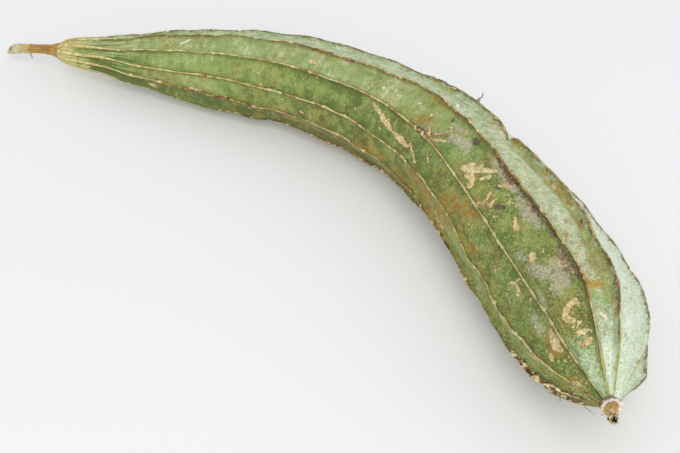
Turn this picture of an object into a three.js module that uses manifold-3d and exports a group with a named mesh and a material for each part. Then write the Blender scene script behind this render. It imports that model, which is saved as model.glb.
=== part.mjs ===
// Ridge gourd (Luffa acutangula) lying on its side, in millimetres, +Z up.
// The fruit is one ten-ridged body swept along a curved spine that runs from the stem
// end (-X) to the blossom end (+X) and bows out towards +Y. Its underside is cut flat
// where the lowest ridges are pressed on the surface at Z = 0. A cut stem stands on the
// stem end, and the dried remains of the flower, a ragged collar round the stub of the
// style, sit on the blossom end.
import * as THREE from 'three';
import { mergeVertices } from 'three/addons/utils/BufferGeometryUtils.js';
import Module from 'manifold-3d';

// ---- Driving dimensions -----------------------------------------------------------

// Spine of the fruit: first point at the stem end, last point at the blossom end.
const spinePoints = [
  [ -192, -49, 17.5 ],
  [ -122, -6, 20.5 ],
  [ -52, 26, 28 ],
  [ 22, 39, 30 ],
  [ 88, 23, 32.5 ],
  [ 158, -7, 32.5 ],
  [ 213, -50, 48.5 ],
];

// Radius over the ridge crests, as [ share of the spine, radius ].
const crestRadii = [
  [ 0, 3.2 ],
  [ 0.016, 8 ],
  [ 0.03, 9.2 ],
  [ 0.065, 11.3 ],
  [ 0.12, 17 ],
  [ 0.2, 22.8 ],
  [ 0.35, 26.4 ],
  [ 0.5, 30.3 ],
  [ 0.65, 33 ],
  [ 0.8, 35.6 ],
  [ 0.9, 31 ],
  [ 0.96, 19.2 ],
  [ 0.99, 8 ],
  [ 1, 4.4 ],
];

// Height of the ridges over the foot of the panels between them.
const ridgeHeights = [
  [ 0, 0.2 ],
  [ 0.03, 1.5 ],
  [ 0.12, 2.4 ],
  [ 0.35, 3 ],
  [ 0.6, 3.6 ],
  [ 0.8, 4.4 ],
  [ 0.92, 5.2 ],
  [ 0.97, 3.6 ],
  [ 1, 0.2 ],
];

// Swell of the middle of a panel over its two feet.
const panelSwells = [
  [ 0, 0 ],
  [ 0.2, 0.2 ],
  [ 0.5, 0.8 ],
  [ 0.8, 1.6 ],
  [ 0.92, 1.2 ],
  [ 1, 0 ],
];

const ridgeCount = 10;
const firstCrestAngle = 180;    // degrees at the stem end, 0 inside the bend, 90 on top
const crestTwist = - 33.6;      // degrees that the crests turn over the whole spine
const crestTwistEase = 9.9;     // degrees that the turn eases off again
const crestOffsets = [ - 0.5, - 3.2, - 0.3, - 4.5, - 1.6, 7.5, 7.7, 0, 0, 0.8 ];
const crestLifts = [ 0.2, 1.2, 0, 0, 0, 0, 0, 0, 0, 0.8 ];   // height over crestRadii
const crestHalfWidth = 0.7;
const crestFootWidth = 2.2;     // from the middle of a crest to its foot
const crestWaveHeight = 0.3;
const crestWaveCounts = [ 6, 11, 17 ];
const bellyFlattening = 0.19;   // share of the radius, full at the blossom end
const bellyFlatteningRange = [ 0.6, 0.95 ];

// A nick in one ridge, where it was crushed while it grew.
const nick = { ridge: 1, place: 0.635, depth: 2.6, halfLength: 0.012 };

const stationCount = 64;
const stationCrowding = 0.62;   // 0 spaces the stations evenly, 1 crowds them at the ends
const panelPoints = 4;

const seatGap = 0.3;            // between pieces that meet face to face

const stemBend = [ -205.5, -57, 16.5 ];
const stemEnd = [ -219.5, -65.5, 12.2 ];
const stemRadii = [
  [ 0, 3 ],
  [ 0.2, 2.7 ],
  [ 0.7, 2.7 ],
  [ 0.9, 3.3 ],
  [ 1, 3.2 ],
];
const stemCorners = 5;
const stemCornerHeight = 0.22;
const stemSides = 20;
const stemStations = 12;
const stemHollow = { radiusShare: 0.55, depth: 1.2 };

const collarInnerRadius = 3.1;
const collarOuterRadius = 4.8;
const collarThickness = 1.5;
const collarFlare = 0.6;
const collarLobes = 7;
const collarLobeHeight = 0.35;
const collarSides = 42;

const stubLength = 10.5;
const stubLean = [ -1.2, -1.2, -0.5 ];    // how far its tip stands off its axis
const stubRadii = [
  [ 0, 2.6 ],
  [ 0.3, 2.8 ],
  [ 0.6, 2.6 ],
  [ 0.8, 2.2 ],
  [ 1, 2.3 ],
];
const stubLobes = 3;
const stubLobeHeight = 0.25;
const stubSides = 18;
const stubStations = 9;
const stubHollow = { radiusShare: 0.5, depth: 1 };

const skinColor = 0x8da268;
const stemColor = 0x9a6a3a;
const collarColor = 0xe9dccb;
const stubColor = 0xa9803f;

// ---- Curves and tables --------------------------------------------------------------

const up = new THREE.Vector3( 0, 0, 1 );
const goldenAngle = Math.PI * ( 3 - Math.sqrt( 5 ) );

function toVector( point ) {

  return new THREE.Vector3( ...point );

}

// A smooth function through the [ place, value ] rows of a table.
function smoothTable( rows ) {

  const last = rows.length - 1;
  const slope = ( i ) => ( rows[ i + 1 ][ 1 ] - rows[ i ][ 1 ] ) / ( rows[ i + 1 ][ 0 ] - rows[ i ][ 0 ] );
  const slopes = rows.map( ( row, i ) => {

    if ( i === 0 ) return slope( 0 );
    if ( i === last ) return slope( last - 1 );
    const before = row[ 0 ] - rows[ i - 1 ][ 0 ];
    const after = rows[ i + 1 ][ 0 ] - row[ 0 ];
    return ( slope( i - 1 ) * after + slope( i ) * before ) / ( before + after );

  } );

  return ( place ) => {

    let i = 0;
    while ( i < last - 1 && place > rows[ i + 1 ][ 0 ] ) i ++;
    const span = rows[ i + 1 ][ 0 ] - rows[ i ][ 0 ];
    const x = ( place - rows[ i ][ 0 ] ) / span;
    const keep = 1 - x;
    return rows[ i ][ 1 ] * ( 1 + 2 * x ) * keep * keep
      + slopes[ i ] * span * x * keep * keep
      + rows[ i + 1 ][ 1 ] * x * x * ( 3 - 2 * x )
      - slopes[ i + 1 ] * span * x * x * keep;

  };

}

const spine = new THREE.CatmullRomCurve3( spinePoints.map( toVector ), false, 'catmullrom', 0.5 );
const crestRadiusAt = smoothTable( crestRadii );
const ridgeHeightAt = smoothTable( ridgeHeights );
const panelSwellAt = smoothTable( panelSwells );

// Centre, direction and the two cross directions of a curve at a place from 0 to 1.
function curveFrame( curve, place ) {

  const along = curve.getTangent( place );
  const side = new THREE.Vector3().crossVectors( along, up ).normalize();
  const rise = new THREE.Vector3().crossVectors( side, along );
  return { centre: curve.getPoint( place ), along, side, rise };

}

function pointOn( frame, angle, radius ) {

  return frame.centre.clone()
    .addScaledVector( frame.side, radius * Math.cos( angle ) )
    .addScaledVector( frame.rise, radius * Math.sin( angle ) );

}

// ---- Solids -------------------------------------------------------------------------

// A closed solid through rings of points, each end closed by a fan to its own centre.
function loft( rings, startCentre, endCentre ) {

  const sides = rings[ 0 ].length;
  const points = [ ...rings.flat(), startCentre, endCentre ];
  const start = points.length - 2;
  const end = points.length - 1;
  const lastRing = ( rings.length - 1 ) * sides;
  const index = [];

  for ( let i = 0; i < sides; i ++ ) {

    const next = ( i + 1 ) % sides;
    index.push( start, i, next );
    index.push( end, lastRing + next, lastRing + i );

    for ( let ring = 0; ring < lastRing; ring += sides ) {

      index.push( ring + i, ring + sides + i, ring + sides + next );
      index.push( ring + i, ring + sides + next, ring + next );

    }

  }

  const geometry = new THREE.BufferGeometry().setFromPoints( points );
  geometry.setIndex( index );
  return geometry;

}

const manifold = await Module();
manifold.setup();

function toManifold( geometry ) {

  geometry.deleteAttribute( 'normal' );
  geometry.deleteAttribute( 'uv' );
  const merged = mergeVertices( geometry );
  return new manifold.Manifold( new manifold.Mesh( {
    numProp: 3,
    vertProperties: new Float32Array( merged.attributes.position.array ),
    triVerts: new Uint32Array( merged.index.array ),
  } ) );

}

function toGeometry( solid ) {

  const mesh = solid.getMesh();
  const geometry = new THREE.BufferGeometry();
  geometry.setAttribute( 'position', new THREE.BufferAttribute( mesh.vertProperties, 3 ) );
  geometry.setIndex( new THREE.BufferAttribute( mesh.triVerts, 1 ) );
  return geometry;

}

function toMesh( name, geometry, color, roughness ) {

  geometry.computeVertexNormals();
  const mesh = new THREE.Mesh( geometry, new THREE.MeshStandardMaterial( { color, roughness, metalness: 0 } ) );
  mesh.name = name;
  return mesh;

}

// ---- Fruit --------------------------------------------------------------------------

function crestAngle( ridge, place ) {

  const degrees = firstCrestAngle + crestTwist * place + crestTwistEase * place * place
    - ridge * 360 / ridgeCount + crestOffsets[ ridge ];
  return THREE.MathUtils.degToRad( degrees );

}

// The radius of one crest, with its own lift, its slow waves and the nick.
function crestRadius( ridge, place ) {

  const smoothstep = THREE.MathUtils.smoothstep;
  const ends = smoothstep( place, 0, 0.1 ) * ( 1 - smoothstep( place, 0.96, 1 ) );
  const waves = crestWaveCounts.reduce( ( sum, count, i ) =>
    sum + Math.sin( 2 * Math.PI * count * place + goldenAngle * ( 3 * ridge + i ) ), 0 );
  const fromNick = ( place - nick.place ) / nick.halfLength;
  const nickDepth = ridge === nick.ridge ? nick.depth * Math.exp( - fromNick * fromNick ) : 0;
  return crestRadiusAt( place ) + ends * ( crestLifts[ ridge ] + crestWaveHeight * waves ) - nickDepth;

}

// The underside of the blossom end is flatter than its top.
function bellyShare( angle, place ) {

  const down = Math.max( 0, - Math.sin( angle ) );
  const along = THREE.MathUtils.smoothstep( place, ...bellyFlatteningRange );
  return 1 - bellyFlattening * along * down * down;

}

// One turn of points round the fruit: for each ridge its crest and foot, then its panel.
function fruitRing( place ) {

  const frame = curveFrame( spine, place );
  const radius = crestRadiusAt( place );
  const height = ridgeHeightAt( place );
  const swell = panelSwellAt( place );
  const ring = [];

  for ( let ridge = 0; ridge < ridgeCount; ridge ++ ) {

    const next = ( ridge + 1 ) % ridgeCount;
    const from = crestAngle( ridge, place );
    const fullTurn = next === 0 ? 2 * Math.PI : 0;
    const gap = from - crestAngle( next, place ) + fullTurn;
    const crestHalf = Math.min( crestHalfWidth / radius, 0.1 * gap );
    const foot = Math.min( crestFootWidth / radius, 0.28 * gap );
    const add = ( angle, reach ) =>
      ring.push( pointOn( frame, angle, reach * bellyShare( angle, place ) ) );

    add( from - crestHalf, crestRadius( ridge, place ) );
    add( from - foot, radius - height );

    for ( let i = 1; i <= panelPoints; i ++ ) {

      const share = i / ( panelPoints + 1 );
      const angle = from - foot - share * ( gap - 2 * foot );
      add( angle, radius - height + swell * Math.sin( Math.PI * share ) );

    }

    add( from - gap + foot, radius - height );
    add( from - gap + crestHalf, crestRadius( next, place ) );

  }

  return ring.reverse();

}

function stationPlace( i ) {

  const even = i / ( stationCount - 1 );
  return even - stationCrowding * Math.sin( 2 * Math.PI * even ) / ( 2 * Math.PI );

}

function makeFruit() {

  const rings = Array.from( { length: stationCount }, ( _, i ) => fruitRing( stationPlace( i ) ) );
  const body = toManifold( loft( rings, spine.getPoint( 0 ), spine.getPoint( 1 ) ) );
  const below = new THREE.BoxGeometry( 600, 400, 100 ).translate( 0, 0, - 50 );
  return toMesh( 'fruit', toGeometry( body.subtract( toManifold( below ) ) ), skinColor, 0.55 );

}

// ---- Stem and flower remains ----------------------------------------------------------

// A lobed stalk along a curve, with a shallow hollow in its far end.
function stalk( curve, { radii, lobes, lobeHeight, sides, stations, hollow } ) {

  const radiusAt = smoothTable( radii );
  const rings = Array.from( { length: stations }, ( _, i ) => {

    const place = i / ( stations - 1 );
    const frame = curveFrame( curve, place );
    return Array.from( { length: sides }, ( _, j ) => {

      const angle = 2 * Math.PI * j / sides;
      return pointOn( frame, angle, radiusAt( place ) + lobeHeight * Math.cos( lobes * angle ) );

    } );

  } );

  const tip = curveFrame( curve, 1 );
  const rim = rings.at( - 1 );
  rings.push( rim.map( ( point ) => point.clone().lerp( tip.centre, 1 - hollow.radiusShare ) ) );
  const endCentre = tip.centre.clone().addScaledVector( tip.along, - hollow.depth );
  return loft( rings, curve.getPoint( 0 ), endCentre );

}

function makeStem() {

  const base = curveFrame( spine, 0 );
  const seat = base.centre.clone().addScaledVector( base.along, - seatGap );
  const curve = new THREE.QuadraticBezierCurve3( seat, toVector( stemBend ), toVector( stemEnd ) );
  const geometry = stalk( curve, {
    radii: stemRadii,
    lobes: stemCorners,
    lobeHeight: stemCornerHeight,
    sides: stemSides,
    stations: stemStations,
    hollow: stemHollow,
  } );
  return toMesh( 'stem', geometry, stemColor, 0.8 );

}

// The dried base of the flower: a ring with a ragged, flared edge.
function makeCollar() {

  const base = curveFrame( spine, 1 );
  const along = ( distance ) => ( {
    ...base,
    centre: base.centre.clone().addScaledVector( base.along, seatGap + distance ),
  } );
  const corners = [
    { distance: 0, radius: collarInnerRadius, lobe: 0 },
    { distance: 0, radius: collarOuterRadius - collarFlare, lobe: 0 },
    { distance: 0.75 * collarThickness, radius: collarOuterRadius, lobe: collarLobeHeight },
    { distance: collarThickness, radius: collarOuterRadius - 0.2, lobe: collarLobeHeight },
    { distance: collarThickness, radius: collarInnerRadius, lobe: 0 },
  ];
  const points = [];
  const index = [];

  for ( let i = 0; i < collarSides; i ++ ) {

    const angle = 2 * Math.PI * i / collarSides;
    const ragged = Math.sin( collarLobes * angle ) + 0.6 * Math.sin( 3 * collarLobes * angle + 1 );

    corners.forEach( ( corner, j ) => {

      points.push( pointOn( along( corner.distance ), angle, corner.radius + corner.lobe * ragged ) );
      const nextCorner = ( j + 1 ) % corners.length;
      const a = i * corners.length + j;
      const b = i * corners.length + nextCorner;
      const shift = ( ( i + 1 ) % collarSides - i ) * corners.length;
      index.push( a, b + shift, a + shift );
      index.push( a, b, b + shift );

    } );

  }

  const geometry = new THREE.BufferGeometry().setFromPoints( points );
  geometry.setIndex( index );
  return toMesh( 'flower_collar', geometry, collarColor, 0.85 );

}

function makeStub() {

  const base = curveFrame( spine, 1 );
  const seat = base.centre.clone().addScaledVector( base.along, seatGap );
  const middle = seat.clone().addScaledVector( base.along, stubLength / 2 );
  const tip = seat.clone().addScaledVector( base.along, stubLength ).add( toVector( stubLean ) );
  const geometry = stalk( new THREE.QuadraticBezierCurve3( seat, middle, tip ), {
    radii: stubRadii,
    lobes: stubLobes,
    lobeHeight: stubLobeHeight,
    sides: stubSides,
    stations: stubStations,
    hollow: stubHollow,
  } );
  return toMesh( 'style_stub', geometry, stubColor, 0.85 );

}

// ---- The gourd ------------------------------------------------------------------------

const gourd = new THREE.Group();
gourd.name = 'ridge_gourd';
gourd.add( makeFruit(), makeStem(), makeCollar(), makeStub() );

export default gourd;
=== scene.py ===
import math
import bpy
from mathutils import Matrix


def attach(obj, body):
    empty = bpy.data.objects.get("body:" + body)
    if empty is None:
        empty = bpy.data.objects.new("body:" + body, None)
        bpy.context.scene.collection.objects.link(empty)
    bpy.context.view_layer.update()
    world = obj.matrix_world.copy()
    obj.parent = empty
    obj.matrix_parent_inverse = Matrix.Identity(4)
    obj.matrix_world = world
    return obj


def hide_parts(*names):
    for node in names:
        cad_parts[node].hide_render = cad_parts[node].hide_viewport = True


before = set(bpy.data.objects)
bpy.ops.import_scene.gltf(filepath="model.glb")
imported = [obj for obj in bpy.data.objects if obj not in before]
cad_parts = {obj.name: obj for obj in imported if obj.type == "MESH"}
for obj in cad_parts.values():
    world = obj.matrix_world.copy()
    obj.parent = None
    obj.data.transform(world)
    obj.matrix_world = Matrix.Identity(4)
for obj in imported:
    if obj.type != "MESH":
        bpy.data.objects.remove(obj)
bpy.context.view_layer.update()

from types import SimpleNamespace

import bmesh
import bpy
import numpy as np
from mathutils import Vector, noise

mm = 0.001
goldenAngle = math.pi * (3 - math.sqrt(5))
print("frame loaded:", ", ".join(sorted(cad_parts)))


# Small helpers for node trees

def colour(red, green, blue):
    # a colour as a paint chart gives it, 0 to 255
    shares = (value / 255 for value in (red, green, blue))
    return (*(x / 12.92 if x <= 0.04045 else ((x + 0.055) / 1.055) ** 2.4 for x in shares), 1)


def paints(chart):
    return SimpleNamespace(**{name: colour(*values) for name, values in chart.items()})


def addNode(tree, kind, inputs, **settings):
    made = tree.nodes.new(kind)
    for name, value in settings.items():
        setattr(made, name, value)
    for name, value in inputs.items():
        if isinstance(value, Field):
            tree.links.new(value.socket, made.inputs[name])
        else:
            made.inputs[name].default_value = value
    return made


def addField(tree, kind, inputs, output=0, **settings):
    return Field(addNode(tree, kind, inputs, **settings).outputs[output])


class Field:
    # what one node gives: sums and products of fields are Math nodes in the same tree
    def __init__(self, socket):
        self.socket = socket
        self.tree = socket.id_data

    def calculate(self, operation, *others):
        inputs = dict(enumerate((self, *others)))
        return addField(self.tree, "ShaderNodeMath", inputs, operation=operation)

    def __add__(self, other):
        return self.calculate("ADD", other)

    def __sub__(self, other):
        return self.calculate("SUBTRACT", other)

    def __rsub__(self, other):
        return addField(self.tree, "ShaderNodeMath", {0: other, 1: self}, operation="SUBTRACT")

    def __mul__(self, other):
        return self.calculate("MULTIPLY", other)

    def ease(self, low, high, newLow=0.0, newHigh=1.0):
        # newLow up to low and newHigh from high on, with a smooth step between
        inputs = {"Value": self, "From Min": low, "From Max": high, "To Min": newLow, "To Max": newHigh}
        return addField(self.tree, "ShaderNodeMapRange", inputs, "Result", interpolation_type="SMOOTHSTEP")

    def moved(self, offset):
        return addField(self.tree, "ShaderNodeVectorMath", {0: self, 1: offset}, operation="ADD")

    def stretched(self, scale):
        return addField(self.tree, "ShaderNodeVectorMath", {0: self, 1: scale}, operation="MULTIPLY")

    def noise(self, scale, detail=2.0, roughness=0.5, distortion=0.0, output="Fac"):
        inputs = {"Vector": self, "Scale": scale, "Detail": detail, "Roughness": roughness,
                  "Distortion": distortion}
        return addField(self.tree, "ShaderNodeTexNoise", inputs, output)

    def cells(self, scale):
        # the distance to the middle of the nearest cell, and that cell's own number
        outputs = addNode(self.tree, "ShaderNodeTexVoronoi", {"Vector": self, "Scale": scale}).outputs
        number = addField(self.tree, "ShaderNodeSeparateColor", {"Color": Field(outputs["Color"])}, "Red")
        return Field(outputs["Distance"]), number


def attributeOf(tree, name, output="Fac"):
    return addField(tree, "ShaderNodeAttribute", {}, output, attribute_name=name)


def mix(under, over, share):
    return addField(share.tree, "ShaderNodeMix", {0: share, 6: under, 7: over}, 2, data_type="RGBA")


def ramp(value, dark, middle, light):
    return mix(mix(dark, middle, value.ease(0.0, 0.5)), light, value.ease(0.5, 1.0))


def makeGroup(name, inputs, build):
    # a node group with the vector Place, these inputs with their usual values, and the output Mask
    tree = bpy.data.node_groups.new(name, "ShaderNodeTree")
    tree.interface.new_socket("Place", in_out="INPUT", socket_type="NodeSocketVector")
    for socketName, value in inputs.items():
        socket = tree.interface.new_socket(socketName, in_out="INPUT", socket_type="NodeSocketFloat")
        socket.default_value = value
    tree.interface.new_socket("Mask", in_out="OUTPUT", socket_type="NodeSocketFloat")
    given = tree.nodes.new("NodeGroupInput").outputs
    mask = build(*(Field(given[socketName]) for socketName in ("Place", *inputs)))
    tree.links.new(mask.socket, tree.nodes.new("NodeGroupOutput").inputs["Mask"])
    return tree


def useGroup(group, place, *values):
    # the group's Mask at this place, with values in the order of its other inputs
    inputs = dict(enumerate((place, *values)))
    return addField(place.tree, "ShaderNodeGroup", inputs, node_tree=group)


def newMaterial(name):
    material = bpy.data.materials.new(name)
    material.use_nodes = True
    tree = material.node_tree
    tree.nodes.clear()
    shader = tree.nodes.new("ShaderNodeBsdfPrincipled")
    output = tree.nodes.new("ShaderNodeOutputMaterial")
    tree.links.new(shader.outputs["BSDF"], output.inputs["Surface"])
    return material, tree, shader


def finish(shader, base, rough, relief, strength, distance, constants):
    # links what changes over the surface and sets the sockets that don't
    inputs = {"Height": relief, "Strength": strength, "Distance": distance}
    bump = addField(base.tree, "ShaderNodeBump", inputs)
    for name, field in (("Base Color", base), ("Roughness", rough), ("Normal", bump)):
        base.tree.links.new(field.socket, shader.inputs[name])
    for name, value in constants.items():
        shader.inputs[name].default_value = value


def addObject(name, data):
    made = bpy.data.objects.new(name, data)
    bpy.context.scene.collection.objects.link(made)
    return made


# Effects that several materials share. Places are in millimetres.

def raggedEdge(place, gap, grain, roam, chips, softness):
    # 1 inside a mark. Its edge wanders by Roam, and follows small flat chips by Chips.
    wander = (place.noise(grain, 2.5, 0.55) - 0.5) * (roam * 4)
    chip = (place.cells(grain * 1.7)[1] - 0.5) * chips
    return (wander + chip + gap).ease(softness * -1, softness, 1, 0)


def roundFlecks(place, scale, size, cover):
    # scattered round flecks: Cover 0 gives none, 1 gives one in every cell
    distance, number = place.cells(scale)
    return distance.ease(size * 0.45, size, 1, 0) * number.calculate("LESS_THAN", cover)


def crackNet(place, scale, width):
    # a net of thin cracks between plates
    bent = place.noise(1.1, output="Color").stretched((1.2, 1.2, 1.2)).moved(place)
    inputs = {"Vector": bent, "Scale": scale}
    plates = addField(place.tree, "ShaderNodeTexVoronoi", inputs, "Distance", feature="DISTANCE_TO_EDGE")
    return plates.ease(0, width, 1, 0)


def brushStrokes(place, pitch, length, grain):
    # soft uneven strokes across Place's first axis, 0 to 1, with a fine grain over them
    def vector(x, y, z):
        return addField(place.tree, "ShaderNodeCombineXYZ", {0: x, 1: y, 2: z})
    bent = place.moved(vector(place.noise(0.09, 3) * 4.5, 0, 0))
    wide = bent.stretched(vector(1, length, 1)).noise(pitch, 4, 0.6, 0.15)
    fine = bent.stretched(vector(2.6, length * 3, 1)).noise(pitch, 3, 0.6, 0.1)
    inputs = {0: grain, 2: fine * 0.4 + wide * 0.6, 3: place.noise(1.1, 3, 0.75)}
    return addField(place.tree, "ShaderNodeMix", inputs).ease(0.38, 0.62)


def longFibres(place, fineness, contrast):
    # long fibres along the first axis of Place
    return place.stretched((0.14, 1, 1)).noise(fineness, 5, 0.65, 0.4).ease(0.5 - contrast, contrast + 0.5)


raggedMask = makeGroup("raggedMask", {"Gap": 0, "Grain": 0.6, "Roam": 0.5, "Chips": 0.5, "Softness": 0.15},
                       raggedEdge)
fineSpots = makeGroup("fineSpots", {"Scale": 0.5, "Size": 0.25, "Cover": 0.5}, roundFlecks)
cracks = makeGroup("cracks", {"Scale": 0.6, "Width": 0.1}, crackNet)
brushedStreaks = makeGroup("brushedStreaks", {"Pitch": 0.6, "Length": 0.16, "Grain": 0.3}, brushStrokes)
fibreGrain = makeGroup("fibreGrain", {"Fineness": 1.5, "Contrast": 0.2}, longFibres)
print("shared effects made")


# Form of the gourd, the same as its solid's. Lengths in millimetres, places from 0 at the
# stem end to 1 at the blossom end, ridges numbered from the outside of the bend over the top.

gourdForm = {
    "spine": [(-192, -49, 17.5), (-122, -6, 20.5), (-52, 26, 28), (22, 39, 30), (88, 23, 32.5),
              (158, -7, 32.5), (213, -50, 48.5)],
    "crestRadii": [(0, 3.2), (0.016, 8), (0.03, 9.2), (0.065, 11.3), (0.12, 17), (0.2, 22.8),
                   (0.35, 26.4), (0.5, 30.3), (0.65, 33), (0.8, 35.6), (0.9, 31), (0.96, 19.2), (0.99, 8),
                   (1, 4.4)],
    "ridgeHeights": [(0, 0.2), (0.03, 1.5), (0.12, 2.4), (0.35, 3), (0.6, 3.6), (0.8, 4.4), (0.92, 5.2),
                     (0.97, 3.6), (1, 0.2)],
    "panelSwells": [(0, 0), (0.2, 0.2), (0.5, 0.8), (0.8, 1.6), (0.92, 1.2), (1, 0)],
    "ridgeCount": 10,
    "firstCrestAngle": 180,
    "crestTwist": -33.6,
    "crestTwistEase": 9.9,
    "crestOffsets": [-0.5, -3.2, -0.3, -4.5, -1.6, 7.5, 7.7, 0, 0, 0.8],
    "crestLifts": [0.2, 1.2, 0, 0, 0, 0, 0, 0, 0, 0.8],
    "crestWaveHeight": 0.3,
    "crestWaveCounts": [6, 11, 17],
    "bellyFlattening": 0.19,
    "bellyFlatteningRange": (0.6, 0.95),
    "nick": {"ridge": 1, "place": 0.635, "depth": 2.6, "halfLength": 0.012},
    "fin": {"flatTop": 0.35, "width": 1.15, "power": 1.6},
}


def smoothTable(rows, places):
    at, values = np.array(rows, float).T
    steps = np.diff(at)
    slopes = np.diff(values) / steps
    inner = (slopes[:-1] * steps[1:] + slopes[1:] * steps[:-1]) / (at[2:] - at[:-2])
    tangents = np.concatenate([slopes[:1], inner, slopes[-1:]])
    span = np.clip(np.searchsorted(at, places, side="right") - 1, 0, len(rows) - 2)
    step = steps[span]
    x = (places - at[span]) / step
    keep = 1 - x
    return (values[span] * (1 + 2 * x) * keep ** 2 + tangents[span] * step * x * keep ** 2
            + values[span + 1] * x ** 2 * (3 - 2 * x) - tangents[span + 1] * step * x ** 2 * keep)


def smoothStep(values, low, high):
    x = np.clip((values - low) / (high - low), 0, 1)
    return x * x * (3 - 2 * x)


def between(limits, share):
    return limits[0] + (limits[1] - limits[0]) * share


def unit(vectors):
    return vectors / np.linalg.norm(vectors, axis=-1, keepdims=True)


def curveAt(points, places):
    # uniform Catmull-Rom curve through the points, and its direction
    points = np.array(points, float)
    ends = np.vstack([2 * points[0] - points[1], points, 2 * points[-1] - points[-2]])
    x = np.clip(places, 0, 1) * (len(points) - 1)
    span = np.minimum(x.astype(int), len(points) - 2)
    x = (x - span)[..., None]
    a, b, c, d = (ends[span + i] for i in range(4))
    bend, swing = 2 * a - 5 * b + 4 * c - d, 3 * b - a - 3 * c + d
    centre = 0.5 * (2 * b + (c - a) * x + bend * x ** 2 + swing * x ** 3)
    return centre, unit(0.5 * ((c - a) + 2 * bend * x + 3 * swing * x ** 2))


def crossFrame(along):
    side = unit(np.cross(along, (0, 0, 1)))
    return side, np.cross(side, along)


def around(turns, side, up):
    return np.cos(turns)[..., None] * side + np.sin(turns)[..., None] * up


def crestAngles(ridges, places):
    form = gourdForm
    offsets = np.array(form["crestOffsets"])[ridges % form["ridgeCount"]]
    degrees = (form["firstCrestAngle"] + form["crestTwist"] * places + form["crestTwistEase"] * places ** 2
               - ridges * 360 / form["ridgeCount"] + offsets)
    return np.radians(degrees)


def crestReach(ridges, places):
    # radius of the crests, with lift, slow waves and the nick
    form = gourdForm
    ends = smoothStep(places, 0, 0.1) * (1 - smoothStep(places, 0.96, 1))
    waves = sum(np.sin(2 * math.pi * count * places + goldenAngle * (3 * ridges + i))
                for i, count in enumerate(form["crestWaveCounts"]))
    nick = form["nick"]
    cut = nick["depth"] * np.exp(-((places - nick["place"]) / nick["halfLength"]) ** 2)
    lifts = np.array(form["crestLifts"])[ridges]
    return (smoothTable(form["crestRadii"], places) + ends * (lifts + form["crestWaveHeight"] * waves)
            - np.where(ridges == nick["ridge"], cut, 0))


def bellyShare(angles, places):
    down = np.maximum(0, -np.sin(angles))
    belly = smoothStep(places, *gourdForm["bellyFlatteningRange"])
    return 1 - gourdForm["bellyFlattening"] * belly * down ** 2


def finShape(distance):
    # 1 on a crest, falling in a hollow curve to 0 at its foot, a few millimetres away
    fin = gourdForm["fin"]
    return np.exp(-(np.maximum(distance - fin["flatTop"], 0) / fin["width"]) ** fin["power"])


def gapWidths(panels, places):
    # arc between a ridge and the next one, in millimetres
    arc = crestAngles(panels, places) - crestAngles(panels + 1, places)
    return arc * smoothTable(gourdForm["crestRadii"], places)


def skinPoints(places, panels, shares, rise=0, sway=0):
    # points on the skin: share of the way from crest number panel to the next, rise over the
    # form and sway along the turn, all in millimetres
    form = gourdForm
    centre, along = curveAt(form["spine"], places)
    radius = smoothTable(form["crestRadii"], places)
    width = gapWidths(panels, places)
    nearFin, farFin = finShape(shares * width), finShape((1 - shares) * width)
    reach = radius - smoothTable(form["ridgeHeights"], places)
    reach += smoothTable(form["panelSwells"], places) * np.sin(math.pi * shares)
    reach = (reach * (1 - nearFin - farFin) + nearFin * crestReach(panels, places)
             + farFin * crestReach((panels + 1) % form["ridgeCount"], places))
    start, end = crestAngles(panels, places), crestAngles(panels + 1, places)
    angles = start + (end - start) * shares - sway / radius
    reach = reach * bellyShare(angles, places) + rise
    return centre + reach[..., None] * around(angles, *crossFrame(along))


def nearestCrest(panels, shares):
    return np.where(shares < 0.5, panels, (panels + 1) % gourdForm["ridgeCount"])


def spineEnd(place):
    # one point of the spine, and the direction there
    return (values[0] for values in curveAt(gourdForm["spine"], np.array([place])))


def lengthsAlong(points):
    return np.append(0, np.cumsum(np.linalg.norm(np.diff(points, axis=0), axis=1)))


def fullTurn(count):
    return np.linspace(0, 2 * math.pi, count, endpoint=False)


def noiseField(*places):
    # smooth noise, about -1 to 1, at three coordinates: arrays or single numbers
    first, second, third = np.broadcast_arrays(*places)
    return np.fromiter(map(noise.noise, zip(first, second, third)), float, first.size)


def gridFaces(rows, columns, closed=False):
    # rows that close into rings turn the other way from open ones
    faces = []
    for row in range(rows - 1):
        for column in range(columns if closed else columns - 1):
            after = (column + 1) % columns
            low, high = row * columns, (row + 1) * columns
            face = (low + column, low + after, high + after, high + column)
            faces.append(face[::-1] if closed else face)
    return faces


def flatMap(lefts, lows, closed=False):
    # corners on the flat map for the faces of gridFaces: rows run to the right, columns up
    corners = []
    for left, right in zip(lefts, lefts[1:]):
        for low, high in zip(lows, lows[1:]):
            face = [(left, low), (left, high), (right, high), (right, low)]
            corners += face[::-1] if closed else face
    return corners


def addAttribute(piece, name, values):
    # one number or one vector for each point
    kind, field = ("FLOAT", "value") if np.ndim(values) == 1 else ("FLOAT_VECTOR", "vector")
    attribute = piece.data.attributes.new(name, kind, "POINT")
    attribute.data.foreach_set(field, np.asarray(values, np.float32).ravel())


def meshFrom(name, points, faces, material, uvs=None):
    # points in millimetres
    mesh = bpy.data.meshes.new(name)
    mesh.from_pydata((np.asarray(points) * mm).tolist(), [], faces)
    mesh.materials.append(material)
    mesh.polygons.foreach_set("use_smooth", [True] * len(mesh.polygons))
    if uvs is not None:
        layer = mesh.uv_layers.new(name="OFBake")
        layer.data.foreach_set("uv", np.asarray(uvs, np.float32).ravel())
    mesh.update()
    piece = addObject(name, mesh)
    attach(piece, "root")
    return piece


# Marks on the skin. Each is a path of (place in thousandths, ridge line, half width in
# millimetres): ridge line 2.5 is the middle of the panel between ridges 2 and 3.

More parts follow.
